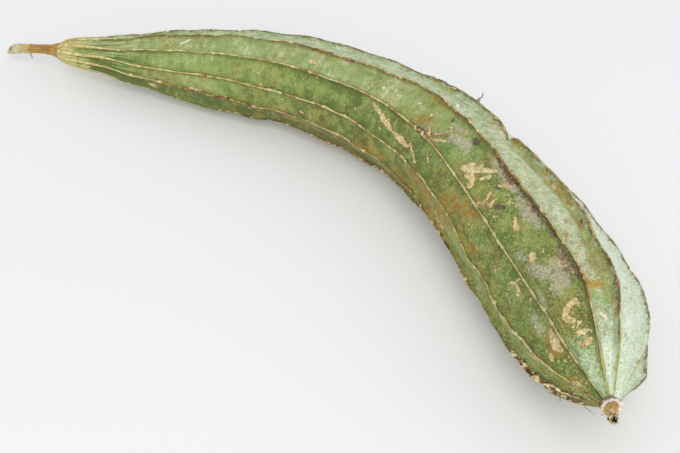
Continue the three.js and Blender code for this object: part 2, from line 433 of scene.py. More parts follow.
skinMarks = {
    "healed": [
        [(449, 3.03, 0.4), (458, 3.15, 0.9), (472, 3.3, 1.1), (487, 3.44, 1.6), (503, 3.57, 1.1)],
        [(487, 3.44, 0.9), (491, 3.36, 0.5)],
        [(508, 3.6, 0.3), (518, 3.61, 1.2), (533, 3.63, 1.8), (549, 3.66, 1.2)],
        [(554, 3.53, 0.5), (566, 3.66, 0.6), (580, 3.86, 0.7)], [(594, 3.36, 0.3), (604, 3.47, 0.5)],
        [(131, 5.6, 1.4), (135, 5.64, 1.6)], [(350, 2.54, 1.3), (355, 2.58, 1.2)], [(294, 3.92, 1.4)],
        [(418, 0.91, 0.7)], [(190, 4.9, 0.7), (200, 4.93, 1.1), (211, 4.95, 0.7)],
        [(236, 4.94, 0.7), (247, 4.97, 0.6)], [(130, 2.12, 0.6), (142, 2.1, 1.1), (150, 2.16, 0.5)],
        [(547, 3.05, 0.8), (560, 3, 0.7), (573, 2.95, 0.9), (584, 2.74, 0.7), (594, 2.42, 0.5)],
        [(573, 2.9, 0.6), (567, 2.82, 0.7), (562, 2.72, 0.4)],
        [(576, 3.05, 0.6), (592, 2.84, 0.8), (602, 2.72, 0.5)],
        [(651, 2.83, 1), (658, 2.76, 1.9), (667, 2.66, 2.2), (674, 2.5, 1.7), (681, 2.34, 1.4),
         (684, 2.26, 1)], [(657, 2.64, 0.8), (660, 2.56, 1)], [(683, 2.64, 0.6), (687, 2.48, 1.1)],
        [(668, 2.42, 0.8)], [(664, 2.88, 0.9), (674, 2.8, 1.4), (680, 2.92, 1.5), (684, 2.98, 1.2)],
        [(700, 3.16, 0.5), (712, 3, 0.9), (718, 2.8, 0.8), (718, 2.64, 0.6)],
        [(704, 3.08, 0.4), (709, 2.9, 0.6), (709, 2.76, 0.6), (705, 2.66, 0.5)],
        [(713, 2.95, 0.4), (719, 2.86, 0.6), (721, 2.8, 0.5)],
        [(726, 2.99, 0.4), (733, 2.87, 0.6), (737, 2.8, 0.4)],
        [(728, 2.6, 0.4), (730, 2.44, 0.5), (737, 2.35, 0.6), (741, 2.4, 0.3)],
        [(704, 2.42, 0.5), (709, 2.28, 1.1), (713, 2.14, 0.7)],
        [(752, 2.54, 0.5), (759, 2.58, 1.1), (765, 2.62, 1.5)], [(810, 2.62, 1.5), (816, 2.66, 1.5)],
        [(840, 2.2, 1.1)], [(848, 2.24, 0.6)], [(820, 3.45, 0.4), (827, 3.3, 0.6), (827, 3.12, 0.4)],
        [(828, 3.3, 0.5), (840, 3.33, 0.8), (845, 3.38, 1.1)], [(828, 3.7, 0.9)], [(876, 2.66, 0.9)],
        [(887, 2.5, 0.6)], [(868, 3.2, 0.6)], [(790, 3.6, 0.6)],
        [(902, 2.25, 1.4), (905, 2.35, 1.6), (909, 2.5, 1.5), (916, 2.64, 1.4), (923, 2.6, 1.6),
         (926, 2.48, 1.3)], [(930, 2.33, 0.9)], [(932, 2.55, 0.7)],
        [(940, 2.5, 0.9), (941, 2.3, 1.5), (940, 2.22, 1.2)],
        [(953, 2.48, 1), (952, 2.3, 1.6), (950, 2.18, 1.4)],
        [(920, 3.2, 1), (928, 3.27, 1.8), (936, 3.35, 2.2), (944, 3.3, 1.3)],
        [(938, 3.8, 1), (942, 3.84, 1.1)], [(931, 3.78, 0.7)], [(949, 3.72, 0.6)], [(912, 3.1, 0.8)],
        [(935, 3.95, 0.9), (942, 3.98, 0.7)], [(900, 3.55, 0.5)], [(955, 3.4, 0.7)],
        [(573, 1.93, 0.7), (584, 1.82, 0.5), (592, 1.58, 0.5)], [(866, 1.7, 0.7)], [(845, 1.42, 0.6)],
        [(802, 1.68, 0.7), (805, 1.76, 0.5)], [(832, 1.72, 0.5)], [(780, 1.52, 0.5), (783, 1.57, 0.4)],
        [(731, 1.28, 0.6)], [(834, 1.48, 0.5)], [(697, 1.52, 0.5)], [(755, 1.4, 0.4)], [(720, 1.8, 0.5)],
        [(853, 1.76, 0.8)], [(927, 1.52, 1.1)], [(835, 1.78, 1.1)], [(822, 1.6, 0.6)], [(730, 3.8, 0.8)],
        [(715, 3.55, 0.7)], [(745, 3.75, 0.8)], [(705, 3.7, 0.6)], [(720, 3.68, 0.5)],
        [(620, 4.96, 0.8), (632, 4.98, 0.7)], [(655, 4.8, 0.6), (670, 4.85, 0.9)],
        [(900, 4.6, 0.5), (925, 4.45, 0.6)], [(860, 4.5, 0.6), (872, 4.42, 0.4)],
        [(975, 3.88, 0.9), (979, 3.82, 0.8)], [(870, 4.88, 0.3), (882, 4.88, 0.6), (895, 4.9, 0.4)],
        [(410, 6.5, 1.4), (425, 6.7, 0.7)], [(580, 7.4, 1.8), (600, 7.3, 1)], [(740, 8.5, 1.6)],
        [(830, 9.4, 1.3), (840, 9.6, 0.7)], [(500, 8.6, 1.1)], [(660, 9.6, 1.2), (680, 9.4, 0.9)],
        [(300, 9.5, 1.3)], [(250, 7.6, 1)], [(360, 8.3, 0.8), (380, 8.45, 1.2)], [(450, 0.4, 1.1)],
        [(200, 0.5, 0.9), (215, 0.6, 0.5)], [(870, 8.4, 1.5), (885, 8.6, 1)], [(700, 6.5, 1.2)],
    ],
    "pale": [
        [(168, 2.5, 0.6), (176, 2.3, 0.9)], [(788, 1.07, 0.7)], [(776, 1.09, 0.5)],
        [(553, 1.64, 1), (556, 1.74, 0.9)], [(958, 1.5, 0.7)], [(962, 1.35, 0.5)], [(948, 1.9, 0.6)],
        [(943, 2.1, 0.8)], [(456, 2.55, 0.8)], [(474, 2.5, 0.5)], [(481, 2.54, 0.7)], [(518, 2.43, 0.7)],
        [(548, 2.49, 0.7)], [(438, 0.9, 0.5)], [(430, 2.6, 0.4)], [(320, 2.4, 0.5)],
        [(924, 1.6, 0.9), (928, 1.5, 1.2)],
    ],
    "cork": [
        [(662, 2.02, 0.8), (682, 2.06, 1.6), (696, 2.08, 2.3), (708, 2.1, 3), (716, 2.06, 2)],
        [(724, 2.07, 1.2), (742, 2.07, 1.8), (757, 2.07, 2), (770, 2.05, 1.3)],
        [(780, 2.04, 1.2), (800, 2.04, 1.3)],
        [(814, 2.06, 1.5), (834, 2.08, 2.1), (857, 2.07, 2.4), (876, 2.05, 1.9), (900, 2.02, 1.1)],
        [(540, 2.96, 0.7), (550, 2.93, 1.3), (566, 2.92, 1.6), (578, 2.95, 1)],
        [(572, 2.88, 1.2), (584, 2.76, 1.3), (594, 2.6, 0.9)], [(702, 3.02, 0.8), (712, 2.88, 1.2)],
        [(660, 5.05, 1), (700, 5.02, 0.8)], [(735, 2.97, 0.7), (740, 3, 0.5)],
        [(880, 4.99, 0.5), (905, 4.99, 0.9)], [(915, 4.98, 0.7), (940, 4.98, 1.1), (955, 5, 0.7)],
        [(965, 4.99, 0.9), (985, 5, 0.5)], [(600, 8.02, 1.2), (630, 8.05, 1.9)],
        [(820, 7.04, 1.4), (860, 7.06, 2.1)], [(900, 9.96, 0.9), (920, 9.94, 1.1)],
        [(350, 6.03, 0.8), (390, 6.04, 1.3)],
    ],
    "haze": [
        [(670, 2.1, 2.4), (700, 2.18, 3), (718, 2.2, 2)],
        [(730, 2.2, 2), (757, 2.26, 3.6), (776, 2.2, 1.8)], [(800, 2.82, 2), (807, 2.78, 1.8)],
        [(824, 2.82, 1.6), (834, 2.72, 3.4), (848, 2.58, 3.4)],
        [(835, 2.3, 2.6), (860, 2.26, 3.4), (876, 2.3, 2.4)], [(870, 2.9, 1.4), (905, 2.97, 2)],
        [(862, 2.5, 2), (886, 2.52, 2.2)], [(604, 2.52, 2.6), (625, 2.4, 3.2), (638, 2.5, 1.6)],
        [(585, 2.24, 1.2), (610, 2.2, 1.8)], [(640, 8.3, 3), (680, 8.5, 2.4)], [(900, 7.4, 3)],
        [(890, 3.4, 1.6), (910, 3.5, 2)], [(300, 8.5, 2.6)],
    ],
    "stain": [
        [(530, 2.92, 1.8), (543, 2.72, 2.8), (556, 2.58, 1.6)], [(565, 2.9, 1.6), (585, 2.8, 1.8)],
        [(500, 2.07, 0.6), (530, 2.06, 1.3), (560, 2.05, 0.8)],
        [(545, 4.97, 1.2), (600, 4.94, 1.6), (650, 4.9, 2.2), (688, 4.86, 2.2)],
        [(570, 4.35, 1.4), (605, 4.35, 3), (635, 4.38, 4.2), (660, 4.32, 4.6), (682, 4.25, 3.4)],
        [(655, 3.78, 1.6), (672, 3.62, 3.2), (692, 3.46, 4.2), (710, 3.26, 3), (722, 3.14, 1.6)],
        [(660, 3.92, 1.8), (685, 3.85, 2.8)], [(690, 4.05, 2), (720, 4, 2.6), (745, 3.9, 1.8)],
        [(760, 3.97, 1), (775, 3.95, 1.2)], [(650, 2.8, 2.2), (665, 2.7, 3), (678, 2.78, 2.4)],
        [(700, 3.02, 2), (713, 2.84, 3.2)], [(766, 2.63, 2)],
        [(762, 1.05, 1.4), (735, 1.07, 1.8), (705, 1.08, 1.3)], [(645, 1.05, 1), (680, 1.06, 1.6)],
        [(925, 3.3, 3.4), (940, 3.4, 4)], [(905, 2.4, 2.6), (920, 2.6, 2.2)],
        [(945, 4.9, 1), (965, 4.75, 1)], [(970, 3.9, 1.4), (978, 3.8, 1.2)],
        [(870, 4.97, 0.5), (910, 4.95, 0.9), (940, 4.94, 1), (970, 4.93, 0.8)],
        [(775, 1.16, 1.8), (790, 1.12, 1.4)], [(820, 1.06, 1.2), (860, 1.05, 1.4)],
        [(880, 1.06, 1), (930, 1.08, 1.4)], [(800, 1.75, 1.4)], [(590, 1.9, 1.8)],
        [(500, 5.4, 1.6), (530, 5.3, 2.2)], [(440, 7.6, 2.6), (470, 7.5, 3.2)], [(750, 6.4, 2.8)],
        [(450, 4.9, 1.2), (500, 4.88, 1.8)], [(400, 9.7, 2)], [(800, 8.8, 2.4), (820, 8.9, 3)],
    ],
    "bruise": [
        [(596, 2.63, 1), (599, 2.57, 0.9)], [(574, 2.14, 0.7), (579, 2.24, 0.8)],
        [(624, 2.1, 1.2), (632, 2.17, 2)], [(619, 2.4, 0.5)], [(725, 2.73, 1.5), (731, 2.62, 1.5)],
        [(703, 2.52, 0.6), (706, 2.44, 1)], [(460, 4.88, 0.9)], [(654, 3.97, 0.8), (664, 3.98, 0.9)],
        [(700, 2.14, 0.8), (711, 2.06, 1.2)], [(874, 2.05, 1.1), (890, 2.02, 0.8)],
        [(764, 3.04, 0.3), (769, 3.2, 0.4)], [(930, 3.6, 0.6)], [(880, 7.6, 1)], [(560, 8.7, 1.1)],
        [(350, 0.5, 0.8)],
    ],
    "bare": [  # green or olive skin with its wax rubbed off
        [(652, 1.2, 1.4), (690, 1.2, 2.2), (720, 1.16, 2.8), (750, 1.14, 3.2), (778, 1.1, 2.4)],
        [(790, 1.15, 2.6), (820, 1.28, 4), (850, 1.3, 5), (880, 1.22, 5), (905, 1.2, 3.6)],
        [(790, 1.85, 1), (830, 1.9, 1.2)], [(950, 1.06, 1.4), (980, 1.1, 1.2)],
        [(950, 2.06, 1.2), (980, 2.1, 1)], [(500, 1.1, 1), (600, 1.12, 1)],
    ],
    "ochre": [
        [(870, 1.88, 1.5), (883, 1.78, 2.5), (887, 1.5, 2.1)], [(880, 0.96, 0.9)], [(893, 1.7, 1)],
    ],
    "fresh": [
        [(898, 1.74, 2.4), (903, 1.5, 3.2)],
    ],
    "pit": [
        [(711, 2.05, 0.4)], [(780, 1.06, 0.7), (784, 1.07, 0.5)], [(555, 1.7, 0.2)], [(610, 6.5, 0.4)],
        [(769, 3.12, 0), (770, 3.18, 0.1)],
    ],
}

# Small scattered healed specks, more of them towards the blossom end, in the same measures
skinScatter = {
    "seed": 11,
    "count": 230,
    "places": (40, 980),
    "crowding": 0.62,
    "halfWidths": (0.15, 0.7),
    "length": 4,
    "lean": 0.06,
}


def scatteredSpecks():
    scatter = skinScatter
    draw = np.random.default_rng(scatter["seed"])
    marks = []
    for _ in range(scatter["count"]):
        place = between(scatter["places"], draw.random() ** scatter["crowding"])
        line = gourdForm["ridgeCount"] * draw.random()
        size = between(scatter["halfWidths"], draw.random() ** 3)
        end = place + scatter["length"] * draw.random(), line + scatter["lean"] * draw.random(), 0.6 * size
        marks.append([(place, line, size), end])
    return marks


def markPoint(place, line):
    panel = np.array([math.floor(line) % gourdForm["ridgeCount"]])
    return skinPoints(np.array([place / 1000]), panel, np.array([line % 1]))[0]


def gapToMarks(points, paths, far=6):
    # distance from each point to the edge of the nearest mark, in millimetres, less than 0 inside
    gaps = np.full(len(points), float(far))
    for path in paths:
        stops = [(markPoint(place, line), half) for place, line, half in path]
        if len(stops) == 1:
            stops = stops * 2
        for (start, startHalf), (end, endHalf) in zip(stops, stops[1:]):
            reach = far + max(startHalf, endHalf)
            low, high = np.minimum(start, end) - reach, np.maximum(start, end) + reach
            near = np.nonzero(((points > low) & (points < high)).all(1))[0]
            line = end - start
            away = points[near] - start
            share = np.clip(away @ line / max(line @ line, 1e-9), 0, 1)
            gap = np.linalg.norm(away - share[:, None] * line, axis=1)
            gaps[near] = np.minimum(gaps[near], gap - startHalf - (endHalf - startHalf) * share)
    return gaps


# Skin: two fine meshes that meet along crests 1 and 6

skin = {
    "rows": 620,
    "rowCrowding": 0.33,
    "columnSteps": [0, 0.03, 0.06, 0.09, 0.13, 0.18, 0.24, 0.31, 0.39, 0.475, 0.56, 0.65, 0.74, 0.83,
                    0.915],
    "lumpHeight": 0.5,
    "wrinkleHeight": 0.2,
    "crestRagged": 0.16,
    "crestSway": 0.5,
    "corkyTip": {"ridges": (5, 6), "places": (0.86, 0.92)},
    "corkyPatch": {"ridge": 3, "place": 0.562, "halfLength": 0.02},
    "chipCount": 170,
    "chipStretch": (30, 450),  # millimetres along the spine
    "chipDepth": (0.2, 0.8),
    "chipHalfLength": (0.3, 1.2),
    "beadPitch": 7,
    "beadHeight": 0.28,
    "nickCut": {"ridge": 1, "place": 0.634, "depth": 1.6, "halfLength": 0.0035},
    # marks: (even height, height of their bumps, where they start outside the edge, where they're full)
    "markHeights": {"healed": (0.25, 0, -0.3, 0.5), "cork": (0.2, 0.7, -0.8, 0.8),
                    "haze": (0, 0.25, -0.5, 1.5), "bruise": (-0.35, 0, -0.5, 0.8),
                    "pit": (-1.5, 0, -0.5, 0.3)},
    "seed": 5,
    # where a crest leaves its even line: (place, millimetres along the turn)
    "crestNudges": {
        0: [(0.86, 0), (0.9, 1), (0.935, -1.2), (0.97, 0.4), (1, 0)],
        1: [(0.52, 0), (0.55, 0.8), (0.58, -1), (0.62, 1), (0.67, 1.6), (0.72, 0), (0.765, -1.2), (0.8, 2),
            (0.88, 2), (0.95, 1.8), (1, 0.4)],
        2: [(0.05, 0), (0.12, 1.5), (0.18, 2.2), (0.24, 1.2), (0.31, 2.2), (0.38, 1.8), (0.48, 0.9),
            (0.56, 0), (0.63, 0), (0.7, 1.4), (0.76, 0.2), (0.81, -0.3), (0.86, -1.3), (0.91, -1.3),
            (0.96, -0.4), (1, 0)],
        3: [(0.03, 0), (0.11, 1.2), (0.2, -0.5), (0.37, -0.3), (0.44, -0.9), (0.52, 0.3), (0.62, 0.2),
            (0.72, 1.5), (0.8, 0.3), (0.87, -0.2), (0.92, -0.8), (1, 0)],
        4: [(0.03, 0), (0.06, -0.4), (0.11, 0.7), (0.22, -0.5), (0.34, 0.9), (0.41, -0.7), (0.51, 0.5),
            (0.58, -0.8), (0.65, -1.7), (0.7, -0.8), (0.74, 1.3), (0.775, -1.2), (0.82, 1.3), (0.87, 1.5),
            (0.92, 0.3), (1, 0)],
        5: [(0.2, 0), (0.25, 0.8), (0.31, 2), (0.37, 0.2), (0.5, 0), (0.62, -1.5), (0.7, 1.5), (0.8, -1),
            (0.88, 1.8), (0.95, 1.8), (1, 0)],
    },
    # how far a crest lies under its even height: (place, millimetres)
    "crestDrops": {1: [(0.1, 0), (0.18, 0.8), (0.3, 0.5), (0.4, 1), (0.47, 1.8), (0.53, 1), (0.58, 0.1),
                       (0.6, 0.5), (0.615, 1.1), (0.627, 0.8), (0.634, 0.1), (0.639, -0.7),
                       (0.646, -1.1), (0.655, -0.2), (0.665, 0)]},
}

skinTone = {  # per panel: pale wax with painted sheen, yellowness and lightness at the neck, the middle and the belly; the lightness is partly the skin's own tone and partly painted shade, lower on the panels that face away from the light
    "places": (0.15, 0.42, 0.72),
    "wax": [(0.55, 0.65, 1.0), (0.45, 0.6, 0.55), (0.1, 0.14, 0), (0.04, 0, 0), (0.04, 0, 0), (0, 0, 0),
            (0.03, 0.03, 0.06), (0.1, 0.15, 0.2), (0.3, 0.4, 0.6), (0.5, 0.6, 0.95)],
    "yellow": [(0.2, 0.2, 0.0), (0.15, 0.35, 0.5), (0.25, 0.3, 0.3), (0.1, 0.2, 0.35), (0.2, 0.45, 0.4),
               (0.35, 0.85, 0.6), (0.3, 0.7, 0.5), (0.3, 0.3, 0.4), (0.2, 0.25, 0.3), (0.2, 0.2, 0.2)],
    "light": [(0.1, 0.1, 0.32), (0.08, 0.02, 0.12), (0.1, 0.04, -0.22), (0.06, -0.3, -0.24),
              (0.02, -0.3, -0.08), (-0.42, -0.36, -0.2), (-0.2, -0.2, -0.2), (-0.1, -0.1, -0.1), (0, 0, 0),
              (0.05, 0.1, 0.1)],
    # paleTip makes the tip of panels 1 and 2 paler and lighter, partly painted light
    "paleTip": {"panels": (1, 2), "places": (0.93, 0.975)},
    "darkNeck": {"panels": (3, 4, 5, 6), "places": (0.07, 0.16)},
    # along each crest: 0 a fresh straw line, 1 worn brown and black, 1.5 broad and corky,
    # less than 0 still green, less than -1 lost under the wax
    "crestWear": {
        0: [(0, 0.3), (0.4, 0.5), (0.8, 0.6), (0.9, 0.1), (0.93, -0.9), (0.965, -0.9), (1, -1.5)],
        1: [(0, 0.2), (0.25, 0.1), (0.35, 0.8), (0.6, 0.7), (0.7, 0.8), (0.8, 0.6), (0.93, 0.7),
            (0.96, -0.3), (1, -0.8)],
        2: [(0, 0), (0.06, 0.2), (0.11, 1), (0.17, 0.8), (0.22, 0.3), (0.29, 0.5), (0.33, 0.9),
            (0.42, 0.8), (0.47, 0.7), (0.52, 1), (0.57, 0.9), (0.62, 0.6), (0.7, 1), (0.76, 0.7),
            (0.83, 0.7), (0.9, 0.8), (0.95, 0.3), (0.975, -0.3), (1, -0.7)],
        3: [(0, 0), (0.25, 0.1), (0.34, 0.5), (0.42, 0.45), (0.5, 0.65), (0.53, 0.9), (0.545, 1.4),
            (0.575, 1.4), (0.595, 0.6), (0.63, 0.3), (0.75, 0.2), (0.88, 0.25), (0.95, 0.2), (1, 0.3)],
        4: [(0, 0), (0.15, 0.1), (0.22, 0.8), (0.3, 0.7), (0.36, 0.5), (0.46, 0.5), (0.6, 0.6), (0.74, 0.4),
            (0.82, 0.5), (0.9, 0.2), (0.95, 0.3), (1, 0.4)],
        5: [(0, 0), (0.1, 0.3), (0.16, 0.9), (0.3, 0.85), (0.4, 0.5), (0.48, 0.9), (0.55, 1.2), (0.65, 1.2),
            (0.72, 0.8), (0.83, 0.9), (0.88, 1.5), (0.96, 1.5), (1, 1.2)],
        6: [(0, 0.2), (0.2, 0.6), (0.3, 1.1), (0.4, 1.3), (0.55, 1.3), (0.7, 1), (0.88, 1), (0.92, 1.5),
            (0.97, 1.5), (1, 1)],
        7: [(0, 0.2), (0.3, 0.5), (1, 0.5)],
        8: [(0, 0.2), (0.5, 0.6), (1, 0.3)],
        9: [(0, 0.2), (0.4, 0.4), (0.9, 0.6), (1, 0)],
    },
}


def crestChips(ridges, alongs):
    # bites out of the crests, in millimetres
    draw = np.random.default_rng(skin["seed"])
    depth = np.zeros(len(ridges))
    for _ in range(skin["chipCount"]):
        ridge = draw.integers(gourdForm["ridgeCount"])
        centre = between(skin["chipStretch"], draw.random() ** 0.8)
        bite = between(skin["chipDepth"], draw.random() ** 2)
        half = between(skin["chipHalfLength"], draw.random())
        near = (ridges == ridge) & (np.abs(alongs - centre) < 2 * half)
        depth[near] = np.maximum(depth[near], bite * np.exp(-np.abs((alongs[near] - centre) / half) ** 3))
    return depth


def crestBeads(ridges, alongs):
    # 0 to 1 on small swellings spaced unevenly along each crest
    pitch = skin["beadPitch"]
    beads = np.zeros(len(ridges))
    for step in (-1, 0, 1):
        cell = np.floor(alongs / pitch) + step
        chance = np.modf(np.abs(np.sin(cell * 12.99 + ridges * 78.23)) * 437.5)[0]
        centre = (cell + 0.15 + 0.7 * np.modf(chance * 57.3)[0]) * pitch
        half = 0.5 + 0.9 * np.modf(chance * 91.7)[0]
        beads = np.maximum(beads, (chance < 0.4) * np.exp(-((alongs - centre) / half) ** 2))
    return beads


def crestTable(tables, ridges, places):
    # what the table of each crest gives at these places
    values = np.zeros(len(places))
    for ridge, rows in tables.items():
        values += (ridges == ridge) * smoothTable(rows, np.clip(places, rows[0][0], rows[-1][0]))
    return values


def toneAt(name, places, panels):
    neck, middle, belly = np.array(skinTone[name]).T[:, panels]
    first, second, third = skinTone["places"]
    return (neck + (middle - neck) * smoothStep(places, first, second)
            + (belly - middle) * smoothStep(places, second, third))


def skinFields(place, panel, share, along):
    # everything about the skin at these points, in millimetres: rise, sway, and what the finish needs
    width = gapWidths(panel, place)
    nearest = nearestCrest(panel, share)
    crestGap = np.minimum(share, 1 - share) * width
    fin = finShape(crestGap)
    across = (share - 0.5) * width
    ends = smoothStep(place, 0, 0.08) * (1 - smoothStep(place, 0.95, 1))

    # slow lumps, then creases that run across the panels and lean a little: what along and across
    # are divided by is the noise's pitch in millimetres
    lumps = noiseField(along / 42, across / 24 + 3 * panel, 0)
    lean = along + 4 * noiseField(along / 26, across / 14 + 3 * panel, 5)
    creases = 1 - 2.2 * np.abs(noiseField(lean / 5.5, across / 17 + 5 * panel, 9))
    creases += 0.5 * noiseField(lean / 2.3, across / 7 + 5 * panel, 4)
    creases *= 0.55 + 0.45 * noiseField(along / 30, across / 20 + 2 * panel, 14)
    creases *= smoothStep(crestGap, 0.5, 4) * (1 - 0.6 * smoothStep(place, 0.6, 0.9))
    creases *= 1 - 0.6 * smoothStep(toneAt("wax", place, panel), 0.6, 1)
    rise = ends * (skin["lumpHeight"] * lumps + skin["wrinkleHeight"] * creases * (1 - fin))

    # ragged, chipped, wandering crests with beads on them
    ragged = noiseField(along / 3.1, 7.3 * nearest, 0) + 0.8 * noiseField(along / 1.1, 3.7 * nearest, 0)
    tip, patch = skin["corkyTip"], skin["corkyPatch"]
    corky = smoothStep(place, *tip["places"]) * np.isin(nearest, tip["ridges"])
    corky += (nearest == patch["ridge"]) * np.exp(-((place - patch["place"]) / patch["halfLength"]) ** 4)
    beads = crestBeads(nearest, along) * ends
    rise += ends * fin * (skin["crestRagged"] * ragged * (1 + 2.5 * corky) + skin["beadHeight"] * beads)
    rise -= fin ** 2 * crestChips(nearest, along)
    cut = skin["nickCut"]
    fromCut = np.abs((place - cut["place"]) / cut["halfLength"])
    rise -= (nearest == cut["ridge"]) * fin * cut["depth"] * np.exp(-fromCut ** 3)
    rise -= fin * crestTable(skin["crestDrops"], nearest, place)
    sway = noiseField(along / 30, 11.7 * nearest, 2) + 0.4 * noiseField(along / 8, 5.1 * nearest, 0)
    sway *= ends * skin["crestSway"] * (0.3 + 0.7 * fin) * (1 - smoothStep(crestGap / width, 0.3, 0.5))
    nudge = crestTable(skin["crestNudges"], nearest, place) * (1 - smoothStep(crestGap / width, 0.04, 0.5))

    # knobbly shoulder round the stem, groove round the flower's remains
    shoulder = 1 - smoothStep(place, 0.02, 0.07)
    knobs = noiseField(along / 5, across / 2.2 + panel, 3)
    rise += shoulder * 0.45 * knobs * smoothStep(place, 0, 0.01)
    rise -= 0.5 * smoothStep(place, 0.985, 0.997) * (1 - fin)

    # height of the marks
    smooth = skinPoints(place, panel, share, 0, nudge)
    gaps = {kind: gapToMarks(smooth, paths) for kind, paths in skinMarks.items()}
    gaps["healed"] = np.minimum(gaps["healed"], gapToMarks(smooth, scatteredSpecks(), 2))
    bumps = noiseField(*(smooth.T / 1.5))
    for kind, (even, bumpy, start, full) in skin["markHeights"].items():
        rise += (even + bumpy * bumps) * smoothStep(-gaps[kind], start, full)

    paleTip, darkNeck = skinTone["paleTip"], skinTone["darkNeck"]
    tip = smoothStep(place, *paleTip["places"]) * np.isin(panel, paleTip["panels"])
    neck = (1 - smoothStep(place, *darkNeck["places"])) * np.isin(panel, darkNeck["panels"])
    fields = {kind + "Gap": values for kind, values in gaps.items()}
    fields |= {
        "crestGap": crestGap,
        "place": place,
        "bead": beads,
        # the creases' height, for the painted shading that follows them
        "creaseShading": creases * ends,
        "crestWear": crestTable(skinTone["crestWear"], nearest, place),
        "wax": np.clip(toneAt("wax", place, panel) + 0.5 * tip, 0, 1),
        "yellow": toneAt("yellow", place, panel),
        # lightness: partly the skin's own tone, partly painted shade on the lower panels and painted light
        # at the tip
        "light": toneAt("light", place, panel) - 0.35 * neck + 0.16 * tip,
    }
    return rise, sway + nudge, fields


def addPlaces(fields, points, columns, steps, panel, share, along):
    # places for the patterns, measured over the surface from each panel's middle and from each crest
    grid = points.reshape(-1, columns, 3)
    over = np.linalg.norm(np.diff(grid, axis=1), axis=2)
    over = np.concatenate([np.zeros((len(grid), 1)), np.cumsum(over, axis=1)], axis=1)
    number = np.minimum(np.arange(columns) // steps, (columns - 1) // steps - 1)
    middle = over[:, number * steps + steps // 2]
    crest = over[:, (number + (share[:columns] > 0.5)) * steps]
    nearest = nearestCrest(panel, share)
    fields["skinPlace"] = np.stack([along, (over - middle).ravel(), 13.7 * panel], 1)
    fields["crestPlace"] = np.stack([along, (crest - over).ravel(), 9.3 * nearest], 1)


def makeSkin(name, panels, material):
    rows = skin["rows"]
    even = np.linspace(0, 1, rows)
    places = even - skin["rowCrowding"] * np.sin(2 * math.pi * even) / (2 * math.pi)
    half = [0.5 * step for step in skin["columnSteps"]]
    shares = np.array(half + [0.5] + [1 - share for share in half[:0:-1]])
    columns = len(panels) * len(shares) + 1
    place = np.repeat(places, columns)
    panel = np.tile(np.append(np.repeat(panels, len(shares)), panels[-1]), rows)
    share = np.tile(np.append(np.tile(shares, len(panels)), 1.0), rows)

    steps = np.linspace(0, 1, 2000)
    lengths = lengthsAlong(curveAt(gourdForm["spine"], steps)[0])
    along = np.interp(place, steps, lengths)
    rise, sway, fields = skinFields(place, panel, share, along)
    points = skinPoints(place, panel, share, rise, sway)
    points[:, 2] = np.maximum(points[:, 2], 0)  # pressed on the surface
    addPlaces(fields, points, columns, len(shares), panel, share, along)

    # two strips, one over the other on the flat map, each for up to 0.51 of the length
    margin, stripWidth, stripHeight, stripPitch = 0.01, 0.96, 0.48, 0.5
    rights = margin + stripWidth / 0.51 * along[::columns] / lengths[-1]
    middle = int(np.searchsorted(along[::columns], lengths[-1] / 2))
    tops = margin + stripHeight * np.linspace(0, 1, columns)
    uvs = flatMap(rights[:middle + 1], tops)
    uvs += flatMap(rights[middle:] - rights[middle] + margin, tops + stripPitch)

    faces = gridFaces(rows, columns)
    # a fan over each end, on a free spot of the flat map
    first, last, end = rows * columns, rows * columns + 1, (rows - 1) * columns
    for column in range(columns - 1):
        faces.append((first, column + 1, column))
        faces.append((last, end + column, end + column + 1))
        uvs += [(0.985, 0.1), (0.99, 0.1), (0.985, 0.105), (0.985, 0.2), (0.99, 0.2), (0.985, 0.205)]
    caps = curveAt(gourdForm["spine"], np.array([0.0, 1.0]))[0]
    piece = meshFrom(name, np.vstack([points, caps]), faces, material, uvs)
    for field, values in fields.items():
        addAttribute(piece, field, np.concatenate([values, values[:1], values[-1:]]))
    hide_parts("fruit")
    print(name, "made:", len(piece.data.polygons), "faces")


tint = paints({
    "deep": (92, 113, 44), "green": (143, 161, 80), "light": (184, 196, 132),
    "deepYellow": (108, 104, 42), "greenYellow": (158, 152, 76), "lightYellow": (200, 188, 118),
    "waxDeep": (176, 195, 154), "wax": (207, 223, 192), "waxLight": (236, 244, 226),
    "shoulder": (208, 198, 128), "fresh": (134, 176, 72), "ochre": (186, 150, 44),
    "straw": (200, 180, 104), "strawPale": (236, 224, 168), "strawOchre": (190, 142, 54),
    "crestBrown": (128, 84, 34), "crestBlack": (54, 40, 24), "crestGreen": (158, 164, 74),
    # rim is painted shade along the edges of the crest lines
    "crestOrange": (180, 118, 56), "rim": (78, 72, 30), "pit": (34, 26, 20),
    "healed": (212, 192, 132), "healedPale": (232, 218, 170), "healedOchre": (176, 146, 76),
    "healedEdge": (134, 96, 42), "pale": (240, 238, 214), "haze": (198, 188, 166),
    "cork": (150, 124, 90), "corkDark": (74, 52, 32), "corkPale": (204, 188, 156),
    "stain": (168, 147, 64), "stainDark": (156, 114, 42), "bruise": (92, 68, 66), "sheen": (230, 238, 224),
    "stemOchre": (206, 164, 96), "stemBrown": (166, 114, 52), "stemDark": (92, 58, 28),
    "stemGreen": (192, 180, 104), "stemCream": (214, 202, 158), "stemPale": (224, 216, 186),
    "stubOlive": (150, 144, 62), "stubOchre": (184, 142, 72), "stubBrown": (120, 84, 40),
    "flake": (240, 228, 176), "hollow": (46, 36, 26), "thread": (146, 142, 92), "threadDark": (70, 62, 46),
    "ringPale": (245, 236, 228), "ringTan": (224, 203, 182), "ringBrown": (104, 74, 48),
})

